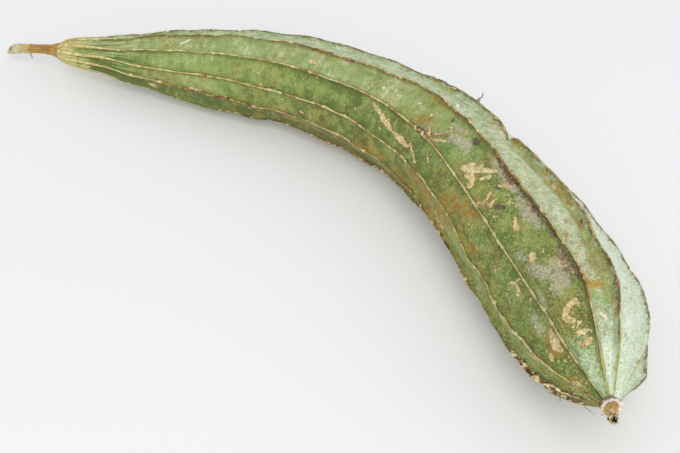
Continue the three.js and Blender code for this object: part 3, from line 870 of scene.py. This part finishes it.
# edges of the marks' colours, as raggedEdge takes them: (grain, roam, chips, softness)
markEdges = {
    "bare": (0.25, 2.2, 1.6, 1.6), "stain": (0.3, 1.6, 1.2, 1.8), "fresh": (0.4, 1.0, 1.0, 1.2),
    "ochre": (0.5, 1.0, 1.2, 0.9), "bruise": (0.8, 0.5, 0.8, 0.5), "haze": (0.4, 1.2, 1.4, 1.2),
    "cork": (0.45, 1.0, 1.2, 0.4), "healed": (0.5, 0.3, 0.7, 0.12), "healedRim": (0.5, 0.3, 0.6, 0.3),
    "pale": (0.8, 0.3, 0.5, 0.2), "pit": (0.9, 0.2, 0.3, 0.25),
}

# The skin's colour is built up in layers. Each layer function takes the fields that several layers
# share, in at, and the colour so far.


def masked(at, kind, wider=0.0, edge=None):
    # 1 on marks of this kind, made wider by some millimetres
    gap = attributeOf(at.tree, kind + "Gap") - wider
    return useGroup(raggedMask, at.place, gap, *markEdges[edge or kind])


def readSkin(tree):
    at = SimpleNamespace(tree=tree)
    at.place, at.crestPlace = (attributeOf(tree, name, "Vector") for name in ("skinPlace", "crestPlace"))
    at.share, at.wax, at.bead, at.crestGap, at.crestWear = (attributeOf(tree, name) for name in (
        "place", "wax", "bead", "crestGap", "crestWear"))
    at.side = addField(tree, "ShaderNodeSeparateXYZ", {"Vector": at.crestPlace}, "Y")
    at.streaks = useGroup(brushedStreaks, at.place, 0.42, 0.22, at.share.ease(0.5, 0.85, 0.4, 0.7))
    at.blotches = at.place.moved((50, 20, 10)).noise(0.12, 4, 0.62).ease(0.36, 0.64)
    at.grain = at.place.moved((3, 17, 40)).stretched((1.3, 0.75, 1)).noise(0.8, 3, 0.75).ease(0.37, 0.63)
    at.speckle = at.place.noise(1.0, 5, 0.75)
    at.lineNoise = at.crestPlace.stretched((1, 0.5, 1)).noise(0.5, 4, 0.65)
    at.dash = at.crestPlace.stretched((1, 0.3, 5)).noise(0.45, 3, 0.6)
    at.wear = at.crestPlace.stretched((1, 0, 3)).noise(0.1, 4, 0.7) + at.crestWear * 0.24 - 0.12
    at.clear = at.wax.ease(0.15, 0.4, 1, 0.25)
    at.value = lightness(at)
    return at


def lightness(at):
    # streaks, blotches, painted shading that follows the real creases (darker in their hollows, lighter on
    # their tops), grain, long stripes where the neck starts, and the lightness per panel, which is partly
    # painted shade
    share, place = at.share, at.place
    calm = at.wax.ease(0.6, 1, 1, 0.3)
    streakShare = (share.ease(0.26, 0.38, 0.36, 0.25) * share.ease(0.6, 0.88, 1, 0.7)
                   * at.crestGap.ease(0.8, 4, 0.4, 1) * calm)
    # painted shade in the hollows of the creases and painted light on their tops
    creaseShading = (attributeOf(at.tree, "creaseShading").ease(-0.9, 0.9) - 0.5) * calm
    stripes = (place.stretched((0.08, 1.5, 1)).noise(0.6, 3, 0.6) - 0.5) * share.ease(0.07, 0.14, 4.2, 0)
    return (at.blotches * 0.32 + (at.streaks - 0.5) * streakShare + creaseShading * 0.2
            + (at.grain - 0.5) * share.ease(0.5, 0.88, 0.2, 0.62) + stripes
            + attributeOf(at.tree, "light") + 0.32)


def groundColour(at):
    # green and olive-yellow grounds, then the wax, partly the skin's own pale bloom and partly painted
    # sheen on the outer panels
    place, wax = at.place, at.wax
    yellow = place.moved((9, 70, 31)).noise(0.06, 3, 0.6) * 2.2 - 1.1 + attributeOf(at.tree, "yellow")
    green = ramp(at.value, tint.deep, tint.green, tint.light)
    olive = ramp(at.value, tint.deepYellow, tint.greenYellow, tint.lightYellow)
    rubbed = place.moved((7, 90, 3)).noise(0.25, 6, 0.78).ease(0.4, 0.58)
    worn, thick = (1 - rubbed) * (1.1 - wax), rubbed * (1 - wax)
    bare = masked(at, "bare")
    at.waxShare = wax * (thick * 0.6 + 1 - worn * 0.95) * (1 - bare * 0.85)
    # the waxed colour: pale bloom and painted sheen
    waxed = ramp(at.value, tint.waxDeep, tint.wax, tint.waxLight)
    base = mix(mix(green, olive, yellow.ease(0, 1)), waxed, at.waxShare)
    # pale strokes on the tops of the streaks, partly wax and partly painted sheen
    brushedSheen = place.moved((60, 3, 3)).noise(0.07, 3, 0.6).ease(0.45, 0.62, 0.02, 0.3)
    return mix(base, tint.waxLight, at.streaks.ease(0.66, 0.96) * brushedSheen * wax.ease(0, 0.12, 0.25, 1))


def addFlecks(at, base):
    # scattered flecks and pores, and the yellow shoulder round the stem
    place, share = at.place, at.share
    flecks = useGroup(fineSpots, place, 0.6, 0.3, 0.3)
    base = mix(base, tint.healedPale, flecks * share.ease(0.2, 0.8, 0.25, 0.6))
    pores = useGroup(fineSpots, place.moved((0, 31, 8)), 0.5, 0.3, 0.25)
    base = mix(base, tint.deepYellow, pores * 0.6)
    shoulder = mix(tint.shoulder, tint.stain, at.speckle.ease(0.52, 0.62))
    shoulderEdge = (place.stretched((0.3, 1.2, 1)).noise(0.35, 4, 0.6) - 0.5) * 0.12 + share
    return mix(base, shoulder, shoulderEdge.ease(0.045, 0.03))


def addStains(at, base):
    # olive to orange-brown stains with the green showing through, fresh and ochre patches, bruises
    place = at.place
    stainTone = place.noise(0.4, 5, 0.68)
    stainSpecks = mix(tint.strawOchre, tint.crestBrown, stainTone.ease(0.42, 0.58))
    stain = mix(tint.stain, tint.stainDark, stainTone.ease(0.42, 0.56))
    stain = mix(stain, stainSpecks, at.speckle.ease(0.54, 0.62, 0, 0.55))
    cover = place.moved((20, 5, 60)).noise(0.22, 4, 0.65).ease(0.38, 0.54, 0.25, 1)
    base = mix(base, stain, masked(at, "stain") * (1.2 - at.grain * 0.4) * cover)
    rusty = at.crestPlace.stretched((1, 0.7, 3)).noise(0.09, 2).ease(0.44, 0.62) * at.crestWear.ease(0, 1)
    rust = useGroup(raggedMask, at.crestPlace, at.crestGap - 1, 0.5, 0.7, 0.8, 0.6)
    base = mix(base, stain, rust * rusty)
    patchy = 1 - at.value * 0.6
    base = mix(base, tint.fresh, masked(at, "fresh") * patchy)
    base = mix(base, tint.ochre, masked(at, "ochre") * (patchy + 0.3))
    return mix(base, tint.bruise, masked(at, "bruise") * 0.85)


def addCork(at, base):
    # grey haze, speckled, with crumbling cork inside it
    at.haze = masked(at, "haze") * at.speckle.ease(0.43, 0.56, 0.15, 0.95)
    # cork tone: darker speckles and darker towards the crests; the dark end is partly the cork's own dark
    # crumbs and partly painted shade between them
    tone = at.speckle.ease(0.36, 0.64) + at.crestGap.ease(0.3, 2.6, -0.6, 0.08)
    crumbs = at.place.moved((8, 8, 8)).noise(0.8, 4, 0.7).ease(0.32, 0.44)
    at.cork = masked(at, "cork") * crumbs
    base = mix(base, tint.haze, at.haze)
    return mix(base, ramp(tone, tint.corkDark, tint.cork, tint.corkPale), at.cork)


def addScars(at, base):
    # healed scars: straw-coloured plates with a brown rim and cracks
    place = at.place
    rim = masked(at, "healed", wider=0.45, edge="healedRim")
    base = mix(base, tint.healedEdge, rim * place.noise(0.5, 2).ease(0.4, 0.6, 0.15, 0.75))
    at.scar = masked(at, "healed", wider=0.12)
    tone = place.noise(0.6, 5, 0.72)
    plates = mix(tint.healed, tint.healedPale, tone.ease(0.44, 0.58))
    plates = mix(plates, tint.healedOchre, tone.ease(0.46, 0.38, 0, 0.65))
    at.scarCracks = useGroup(cracks, place, 0.55, 0.11) * place.noise(0.3, 2).ease(0.38, 0.52)
    base = mix(base, mix(plates, tint.healedEdge, at.scarCracks * 0.7), at.scar)
    return mix(base, tint.pale, masked(at, "pale"))


def addFoldShade(at, base):
    # painted shade: a dark band along the foot of each crest, deeper on the side that faces the next one
    wander = (at.blotches - 0.5) * 0.8 + at.crestGap
    covered = at.cork.calculate("MAXIMUM", at.haze * 0.7)
    foldShade = wander.ease(2.4, 0.5) * at.side.ease(-0.2, 0.2, 0.5, 0.2) * (1 - at.wax * 0.8) * (1 - covered)
    return mix(base, tint.deep, foldShade)


def addCrests(at, base):
    # a straw line with paler beads, ochre, brown, black and corky stretches, and a dark rim of painted
    # shade along its edges
    share, wear, crestWear = at.share, at.wear, at.crestWear
    slow = at.crestPlace.stretched((1, 0, 5)).noise(0.13, 3, 0.6)
    corky = crestWear.ease(1.1, 1.5)
    narrow = share.ease(0.94, 0.985, 0, 0.25) * crestWear.ease(-0.4, 0)
    gap = ((at.lineNoise - 0.5) * 1.5 + (slow - 0.5) * 1.6 + at.crestGap - at.bead * 0.3
           + share.ease(0.03, 0.1, -0.5, 0) + narrow - corky * 0.6)
    rimShadeShare = (at.crestPlace.stretched((1, 0.2, 4)).noise(0.16, 3).ease(0.4, 0.58, 0.2, 0.85)
                * crestWear.ease(-0.8, -0.3) * share.ease(0.05, 0.14, 0.35, 1))
    # painted shade: the dark rim along the edges of the crest line
    base = mix(base, tint.rim, (gap - at.lineNoise * 0.7).ease(0.68, 0.3) * rimShadeShare)
    line = mix(tint.straw, tint.strawPale, at.lineNoise.ease(0.43, 0.58))
    line = mix(line, tint.strawOchre, wear.ease(0.52, 0.6))
    line = mix(line, tint.crestBrown, wear.ease(0.6, 0.68))
    line = mix(line, tint.crestBlack, at.dash.ease(0.58, 0.64) * wear.ease(0.56, 0.66) * at.clear)
    line = mix(line, tint.strawPale, at.bead * 0.7)
    line = mix(line, tint.crestGreen, crestWear.ease(0, -0.6, 0, 0.8))
    crumbled = at.crestPlace.stretched((1, 1.2, 1)).noise(0.36, 3, 0.55).ease(0.36, 0.57)
    line = mix(line, ramp(crumbled, tint.crestBlack, tint.crestOrange, tint.strawPale), corky)
    at.crest = gap.ease(0.56, 0.28) * crestWear.ease(-1.3, -0.9)
    return mix(base, line, at.crest)


def addShadeLines(at, base):
    # a thin dark line in the shade of the worn stretches, and the pits
    share, dash = at.share, at.dash
    gap = (at.side + share.ease(0.78, 0.86, 1.25, 0.8)).calculate("ABSOLUTE") + (at.lineNoise - 0.5) * 0.7
    belly = share.ease(0.78, 0.86) * dash.ease(0.38, 0.48) * at.crestWear.ease(-0.5, 0)
    shaded = (at.wear.ease(0.5, 0.58) * dash.ease(0.46, 0.54)).calculate("MAXIMUM", belly) * at.clear
    shade = mix(tint.crestBrown, tint.crestBlack, share.ease(0.6, 0.75))
    base = mix(base, shade, gap.ease(0.55, 0.25) * shaded * 0.85)
    return mix(base, tint.pit, masked(at, "pit"))


def makeSkinMaterial():
    material, tree, shader = newMaterial("ridgedSkin")
    at = readSkin(tree)
    base = groundColour(at)
    for addLayer in (addFlecks, addStains, addCork, addScars, addFoldShade, addCrests, addShadeLines):
        base = addLayer(at, base)
    rough = at.value * 0.14 + at.waxShare * 0.1 + at.cork.calculate("MAXIMUM", at.scar) * 0.25 + 0.42
    relief = (at.streaks * 0.3 + at.speckle * 0.4 + (at.scar - at.scarCracks) * 0.5
              + at.cork * at.speckle * 1.4 + at.crest * at.lineNoise * 0.8)
    finish(shader, base, rough, relief, strength=0.7, distance=0.0006, constants={
        "Specular IOR Level": 0.42, "Sheen Weight": 0.06, "Sheen Roughness": 0.5,
        "Sheen Tint": tint.sheen})
    return material


ridgedSkin = makeSkinMaterial()
makeSkin("innerSkin", [1, 2, 3, 4, 5], ridgedSkin)
makeSkin("outerSkin", [6, 7, 8, 9, 0], ridgedSkin)


# Stem, and the dried remains of the flower: stalks along a bent line with a broken, hollow end

stem = {
    "bend": (-205.5, -57, 16.5),
    "end": (-219.4, -65.3, 12.3),
    "radii": [(-0.1, 5), (0, 3.8), (0.08, 3.15), (0.2, 2.8), (0.7, 2.75), (0.86, 3.05), (0.95, 3.05),
              (1, 2.7)],
    "corners": 5,
    "cornerHeight": 0.2,
    "start": -0.08,
    "grooveHeight": 0.28,
    "knobHeight": 0.3,
    "endRagged": 0.4,
    "endHollow": 0.9,
    "cutSlant": (0.3, -1.6, 3.0),
    "cutBack": 1,
    "rows": 120,
    "columns": 96,
    "seed": 3,
    "shreds": {"count": 9, "radius": 2.7, "length": 1.3, "curl": 0.5, "width": 0.36, "seed": 21},
}

stub = {
    "length": 11.3,
    "lean": (-1.2, -1.2, -0.5),
    "radii": [(-0.1, 2.7), (0, 2.7), (0.3, 2.85), (0.6, 2.6), (0.8, 2.2), (1, 2.2)],
    "corners": 3,
    "cornerHeight": 0.25,
    "start": -0.06,
    "grooveHeight": 0.25,
    "knobHeight": 0.22,
    "endRagged": 1.3,
    "endHollow": 2.2,
    "cutSlant": (0, 0, 0),
    "cutBack": 0,
    "rows": 80,
    "columns": 84,
    "seed": 8,
    "shreds": {"count": 18, "radius": 2.1, "length": 3.0, "curl": 1.2, "width": 0.36, "seed": 4},
}

seatStep = 0.3  # from the end of the gourd's spine to the start of a stalk's line

# rings that turn over the broken edge into the hollow: (share of the radius, lift, how far inside)
brokenEnd = [(0.94, 0.35, 0.15), (0.84, 0.3, 0.35), (0.72, -0.1, 0.55), (0.6, -0.45, 0.7),
             (0.46, -0.8, 0.85), (0.25, -1.0, 0.95)]


def bentLine(seat, bend, end, shares):
    x = shares[..., None]
    centre = (1 - x) ** 2 * seat + 2 * x * (1 - x) * bend + x ** 2 * end
    return centre, unit(2 * (1 - x) * (bend - seat) + 2 * x * (end - bend))


def stemLine(shares):
    base, along = spineEnd(0)
    return bentLine(base - seatStep * along, np.array(stem["bend"]), np.array(stem["end"]), shares)


def stubLine(shares):
    base, along = spineEnd(1)
    seat = base + seatStep * along
    end = seat + along * stub["length"] + np.array(stub["lean"])
    return bentLine(seat, seat + along * stub["length"] / 2, end, shares)


def makeStalk(name, node, line, form, material):
    rows, columns = form["rows"], form["columns"]
    length = lengthsAlong(line(np.linspace(0, 1, 50))[0])[-1]
    rings = [(share, 1, 0, 0) for share in np.linspace(form["start"], 1, rows)]
    rings += [(1, *ring) for ring in brokenEnd]
    share, radiusShare, lift, inside = np.repeat(np.array(rings), columns, axis=0).T
    turn = np.tile(fullTurn(columns), len(rings))
    seed = form["seed"] * 10
    x, y = 3 * np.cos(turn), 3 * np.sin(turn)
    along = share * length
    grooves = noiseField(along / 14, x * 1.1, y * 1.1 + seed)
    grooves += 0.6 * noiseField(along / 5, x * 2.3, y * 2.3 + seed)
    knobs = noiseField(along / 3, x / 2.2, y / 2.2 + seed)
    ragged = noiseField(0, x * 0.9, y * 0.9 + seed) + 0.7 * noiseField(0, x * 2.4, y * 2.4 + seed)
    radius = smoothTable(form["radii"], share) + form["cornerHeight"] * np.cos(form["corners"] * turn)
    radius += form["grooveHeight"] * grooves + form["knobHeight"] * knobs
    centre, direction = line(share)
    shift = form["endRagged"] * smoothStep(share, 0.86, 1) * (ragged - 0.35) * (1 - inside)
    shift += form["endHollow"] * np.minimum(lift, 0) + 0.3 * np.maximum(lift, 0)
    # cut off at a slant: shorter on the side cutSlant points to
    outward = around(turn, *crossFrame(direction))
    back = radiusShare * (outward @ np.array(form["cutSlant"])) + form["cutBack"]
    shift -= smoothStep(share, 0.55, 1) * back
    points = centre + direction * shift[:, None] + (radius * radiusShare)[:, None] * outward

    # the wall with its flat map, then a fan over each end
    faces = gridFaces(len(rings), columns, closed=True)
    rowShare, turnShare = np.linspace(0.01, 0.9, len(rings)), np.linspace(0.01, 0.99, columns + 1)
    uvs = flatMap(rowShare, turnShare, closed=True)
    end = (len(rings) - 1) * columns
    for column, (low, high) in enumerate(zip(turnShare, turnShare[1:])):
        after = (column + 1) % columns
        faces.append((len(points), column, after))
        faces.append((len(points) + 1, end + after, end + column))
        uvs += [(0.95, 0.5), (0.93, low), (0.93, high), (0.97, 0.5), (0.99, high), (0.99, low)]
    caps = np.vstack([points[:columns].mean(0), points[end:].mean(0) - 0.2 * direction[-1]])
    piece = meshFrom(name, np.vstack([points, caps]), faces, material, uvs)
    addAttribute(piece, "stalkPlace", np.vstack([np.stack([along, x, y], 1), (0, 0, 0), (length, 0, 0)]))
    addAttribute(piece, "stalkShare", np.append(share, (0, 1)))
    addAttribute(piece, "inside", np.append(inside, (0, 1)))
    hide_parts(node)


def tubePoints(path, thickness, sides, flatness):
    # rings round a path whose points are in millimetres; flatness squeezes each ring
    along = unit(np.gradient(path, axis=0))
    aside = unit(np.cross(along, (0.3, 0.2, 0.93)))
    above = np.cross(aside, along)
    turns = fullTurn(sides)[:, None]
    ring = np.cos(turns) * aside[:, None] + flatness * np.sin(turns) * above[:, None]
    return (path[:, None] + thickness[:, None, None] * ring).reshape(-1, 3)


def joinTubes(name, tubes, sides, material):
    # tubes is a list of (path, thickness at each point, flatness)
    points, faces, place = [], [], []
    for number, (path, thickness, flatness) in enumerate(tubes):
        start = len(points)
        points += tubePoints(path, thickness, sides, flatness).tolist()
        place += [(distance, 0.4 * side, 5 * number)
                  for distance in lengthsAlong(path) for side in range(sides)]
        faces += [tuple(start + i for i in face) for face in gridFaces(len(path), sides, closed=True)]
        faces.append(tuple(start + i for i in range(sides)))
        faces.append(tuple(start + (len(path) - 1) * sides + i for i in reversed(range(sides))))
    piece = meshFrom(name, points, faces, material)
    addAttribute(piece, "stalkPlace", place)


def makeShreds(name, line, form, material):
    # torn fibres that stand round a broken end
    shreds = form["shreds"]
    draw = np.random.default_rng(shreds["seed"])
    centre, direction = line(np.array([1.0]))
    x = np.linspace(0, 1, 9)
    tubes = []
    for _ in range(shreds["count"]):
        turn = 2 * math.pi * draw.random()
        reach = shreds["radius"] * (0.55 + 0.45 * draw.random())
        length = shreds["length"] * (0.4 + 0.6 * draw.random())
        curl = shreds["curl"] * (draw.random() - 0.35)
        twist = 0.6 * (draw.random() - 0.5)
        outward = around(turn + twist * x, *crossFrame(direction))
        rise = length * (x - 0.35) - outward @ np.array(form["cutSlant"]) - form["cutBack"]
        path = centre + (reach + curl * x ** 2)[:, None] * outward + rise[:, None] * direction
        width = shreds["width"] * (0.6 + 0.6 * draw.random()) * (1 - np.linspace(0, 0.93, 9) ** 1.6)
        tubes.append((path, width, 0.4))
    joinTubes(name, tubes, 6, material)


def finishFibres(shader, base, fibres, strength):
    rough = fibres * 0.2 + 0.62
    finish(shader, base, rough, fibres, strength, distance=0.0004, constants={"Specular IOR Level": 0.3})


def makeStemMaterial():
    material, tree, shader = newMaterial("driedStem")
    place = attributeOf(tree, "stalkPlace", "Vector")
    fibres = useGroup(fibreGrain, place, 1.3, 0.16)
    patch = place.noise(0.35, 4, 0.6)
    share = attributeOf(tree, "stalkShare") + (patch - 0.5) * 0.5
    base = mix(tint.stemBrown, tint.stemOchre, fibres)
    base = mix(base, tint.stemDark, patch.ease(0.54, 0.66) * 0.6)
    base = mix(base, mix(tint.stemGreen, tint.stemCream, fibres * 0.6), share.ease(0.5, 0.6))
    cut = mix(tint.stemPale, tint.stemCream, place.noise(0.9, 3).ease(0.42, 0.58))
    cut = mix(cut, tint.stemOchre, patch.ease(0.5, 0.6) * 0.7)
    base = mix(base, cut, share.ease(0.7, 0.82))
    # painted shade deep inside the broken hollow end
    base = mix(base, tint.hollow, attributeOf(tree, "inside").ease(0.76, 0.9))
    base = mix(base, tint.stemDark, useGroup(fineSpots, place, 0.8, 0.3, 0.15) * 0.5)
    finishFibres(shader, base, fibres, 0.8)
    return material


def makeStubMaterial():
    material, tree, shader = newMaterial("driedStub")
    place = attributeOf(tree, "stalkPlace", "Vector")
    fibres = useGroup(fibreGrain, place, 1.5, 0.15)
    patch = place.noise(0.4, 4, 0.6)
    share = attributeOf(tree, "stalkShare") + (patch - 0.5) * 0.6
    base = mix(tint.stubOlive, tint.stubOchre, share.ease(0.1, 0.5))
    base = mix(base, tint.flake, fibres * 0.45)
    base = mix(base, tint.stubBrown, patch.ease(0.52, 0.64) * 0.8)
    flake = mix(tint.flake, tint.stubBrown, place.noise(1.2, 3).ease(0.44, 0.56))
    base = mix(base, flake, useGroup(raggedMask, place, 0.74 - share, 0.8, 0.1, 0.5, 0.04))
    # painted shade deep inside the broken hollow end
    base = mix(base, tint.hollow, attributeOf(tree, "inside").ease(0.3, 0.6))
    finishFibres(shader, base, fibres, 0.8)
    return material


def makeShredMaterial(name, light, dark):
    material, tree, shader = newMaterial(name)
    place = attributeOf(tree, "stalkPlace", "Vector")
    fibres = useGroup(fibreGrain, place, 2.0, 0.15)
    base = mix(light, dark, place.noise(0.3, 2).ease(0.45, 0.6))
    finishFibres(shader, mix(base, light, fibres * 0.3), fibres, 0.5)
    return material


flowerRing = {
    "points": 7,
    "pointHeight": 0.45,
    "tearHeight": 0.8,
    "columns": 210,
    "lift": 1.2,
    # its section: (distance along the stub, radius, share of the tearing)
    "profile": [(-0.9, 3.1, 0), (-0.9, 3.7, 0), (-0.3, 3.9, 0), (0.4, 3.75, 0), (1.0, 3.7, 0.05),
                (1.5, 4.0, 0.2), (1.9, 4.4, 0.4), (2.3, 4.75, 0.65), (2.75, 5.0, 0.9), (3.0, 5.05, 1),
                (3.1, 4.9, 1), (2.9, 4.6, 0.95), (2.65, 4.3, 0.75), (2.4, 3.9, 0.5), (2.2, 3.5, 0.3),
                (2.1, 3.0, 0.2), (1.6, 2.8, 0.15)],
}


def makeFlowerRing(material):
    # a papery ring with a torn, upturned edge
    columns, rows = flowerRing["columns"], len(flowerRing["profile"])
    centre, along = spineEnd(1)
    turn = np.repeat(fullTurn(columns), rows)
    distance, radius, torn = np.tile(np.array(flowerRing["profile"]).T, columns)
    x, y = 4 * np.cos(turn), 4 * np.sin(turn)
    tears = np.sin(flowerRing["points"] * turn) + 0.6 * np.sin(3 * flowerRing["points"] * turn + 1)
    rough = noiseField(x / 1.1, y / 1.1, 0) + 0.6 * noiseField(x * 2, y * 2, 0)
    wave = noiseField(x / 3, y / 3, 7)
    lumps = noiseField(x / 1.3, y / 1.3, distance / 1.3 + 3)
    radius = radius + flowerRing["pointHeight"] * torn * (0.5 * tears + 0.6 * wave) + 0.25 * lumps
    tearing = flowerRing["tearHeight"] * (0.8 * rough + 0.35 * tears) - 0.35
    distance = distance + torn * tearing + 0.2 * lumps
    points = (centre + (flowerRing["lift"] + distance)[:, None] * along
              + radius[:, None] * around(turn, *crossFrame(along)))
    # closed both ways: the last faces reach back to the first section
    faces = [tuple(i % len(points) for i in reversed(face))
             for face in gridFaces(columns + 1, rows, closed=True)]
    uvs = flatMap(*(np.linspace(0.01, 0.99, count + 1) for count in (columns, rows)))
    piece = meshFrom("flowerRing", points, faces, material, uvs)
    addAttribute(piece, "ringPlace", np.stack([distance, x, y], 1))
    addAttribute(piece, "torn", torn)
    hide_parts("flower_collar")


def makeRingMaterial():
    material, tree, shader = newMaterial("paperyRing")
    place = attributeOf(tree, "ringPlace", "Vector")
    cloudy = place.noise(0.7, 4, 0.65)
    veins = place.stretched((0.3, 1.6, 1.6)).noise(1.2, 3, 0.6)
    edge = attributeOf(tree, "torn") + (cloudy - 0.5) * 1.6
    base = mix(tint.ringPale, tint.ringTan, cloudy.ease(0.42, 0.62))
    base = mix(base, tint.ringBrown, edge.ease(1.0, 1.25) * 0.8)
    # painted shade: darker on the ring's foot and on the inner side of its turned-up edge
    base = mix(base, tint.ringBrown, edge.ease(0.2, 0.0) * 0.9)
    base = mix(base, tint.ringTan, veins.ease(0.5, 0.62) * 0.3)
    finishFibres(shader, base, veins, 0.6)
    return material


dryThreads = [  # (place in thousandths, ridge line), steps from there in millimetres, thickness
    ((556, 1.0), [(0, 0, -0.6), (0.2, 0.6, 0.6), (0.9, 1.7, 1.2), (1.2, 2.6, 2.2), (0.9, 3.0, 3.3),
                  (1.3, 3.4, 4.3)], 0.46),
    ((559, 1.02), [(0, 0, -0.6), (0.3, 0.8, 0.6), (-0.3, 1.3, 1.1), (-0.6, 1.4, 1.5)], 0.34),
    ((421, 4.1), [(0, 0.2, -0.2), (-0.4, -0.5, 1.0), (-0.2, -1.6, 1.2), (0.7, -2.4, 0.9),
                  (1.5, -2.4, 0.9)], 0.24),
    ((973, 6.0), [(-0.4, 0.4, 0.4), (1.8, 0.5, -0.9), (4, 1.3, -2.2), (6, 2, -3.3)], 0.22),
    ((937, 6.0), [(-0.3, 0.4, 0.4), (0.2, -0.2, -0.6), (0.5, -0.5, -1.4), (0.8, -0.8, -2.2)], 0.3),
]

# share of the way along the stem, steps from there in millimetres, thickness
stemThread = 0.58, [(0, 0, -2.2), (0.7, 0.1, -3.6), (1.7, 0.1, -5.0), (2.9, 0, -6.2)], 0.42


def makeThreads(material):
    share, steps, thickness = stemThread
    threads = [(markPoint(*seat), *rest) for seat, *rest in dryThreads]
    threads.append((stemLine(np.array([share]))[0][0], steps, thickness))
    x = np.linspace(0, 1, 22)
    tubes = [(curveAt(np.array(steps) + root, x)[0], thickness * (1 - 0.7 * x ** 1.5), 0.8)
             for root, steps, thickness in threads]
    joinTubes("dryThreads", tubes, 7, material)


makeStalk("stemStalk", "stem", stemLine, stem, makeStemMaterial())
stemShred = makeShredMaterial("stemShred", tint.stemCream, tint.stemOchre)
makeShreds("stemShreds", stemLine, stem, stemShred)
print("stem made")
makeStalk("stubStalk", "style_stub", stubLine, stub, makeStubMaterial())
stubShred = makeShredMaterial("stubShred", tint.flake, tint.stubBrown)
makeShreds("stubShreds", stubLine, stub, stubShred)
makeFlowerRing(makeRingMaterial())
makeThreads(makeShredMaterial("dryThread", tint.thread, tint.threadDark))
print("flower remains and threads made")


# Floor, light and camera

stage = {
    "floorSize": 8.0,
    "floorColour": colour(228, 228, 228),
    "floorGlow": 0.09,
    "worldColour": colour(252, 253, 255),
    "worldStrength": 0.765,
    "keyPlace": (1.2, -0.95, 1.75),
    "keySize": 1.6,
    "keyPower": 23,
    "keyColour": (1.0, 0.995, 0.985),
}

camera = {
    "target": (0.022, -0.022, 0),
    "azimuth": 45,
    "elevation": 45,
    "distance": 0.7,
    "focalPixels": 1300,
    "frameWidth": 680,
    "sensorWidth": 36,
}


def makeFloor():
    half = stage["floorSize"] / 2
    shape = bmesh.new()
    corners = [shape.verts.new((x * half, y * half, 0)) for x, y in ((-1, -1), (1, -1), (1, 1), (-1, 1))]
    shape.faces.new(corners)
    mesh = bpy.data.meshes.new("floor")
    shape.to_mesh(mesh)
    shape.free()
    material, _, shader = newMaterial("paleFloor")
    constants = {"Base Color": stage["floorColour"], "Roughness": 0.85, "Specular IOR Level": 0.1,
                 "Emission Color": (1, 1, 1, 1), "Emission Strength": stage["floorGlow"]}
    for name, value in constants.items():
        shader.inputs[name].default_value = value
    mesh.materials.append(material)
    addObject("floor", mesh)


def lookAt(thing, target):
    thing.rotation_euler = (Vector(target) - thing.location).to_track_quat("-Z", "Y").to_euler()


def makeKeyLight():
    light = bpy.data.lights.new("keyLight", "AREA")
    light.shape = "DISK"
    light.size = stage["keySize"]
    light.energy = stage["keyPower"]
    light.color = stage["keyColour"]
    lamp = addObject("keyLight", light)
    lamp.location = stage["keyPlace"]
    lookAt(lamp, (0, 0, 0))


def makeWorld():
    world = bpy.data.worlds.new("softRoom")
    world.use_nodes = True
    background = world.node_tree.nodes["Background"]
    background.inputs["Color"].default_value = stage["worldColour"]
    background.inputs["Strength"].default_value = stage["worldStrength"]
    bpy.context.scene.world = world


def makeCamera():
    turn, lift = math.radians(camera["azimuth"]), math.radians(camera["elevation"])
    back = Vector((math.sin(turn) * math.cos(lift), -math.cos(turn) * math.cos(lift), math.sin(lift)))
    made = addObject("camera", bpy.data.cameras.new("camera"))
    made.location = Vector(camera["target"]) + camera["distance"] * back
    lookAt(made, camera["target"])
    made.data.sensor_width = camera["sensorWidth"]
    made.data.sensor_fit = "HORIZONTAL"
    made.data.lens = camera["sensorWidth"] * camera["focalPixels"] / camera["frameWidth"]
    bpy.context.scene.camera = made


makeFloor()
makeWorld()
makeKeyLight()
makeCamera()
bpy.context.scene.view_settings.view_transform = "Standard"
print("stage made")
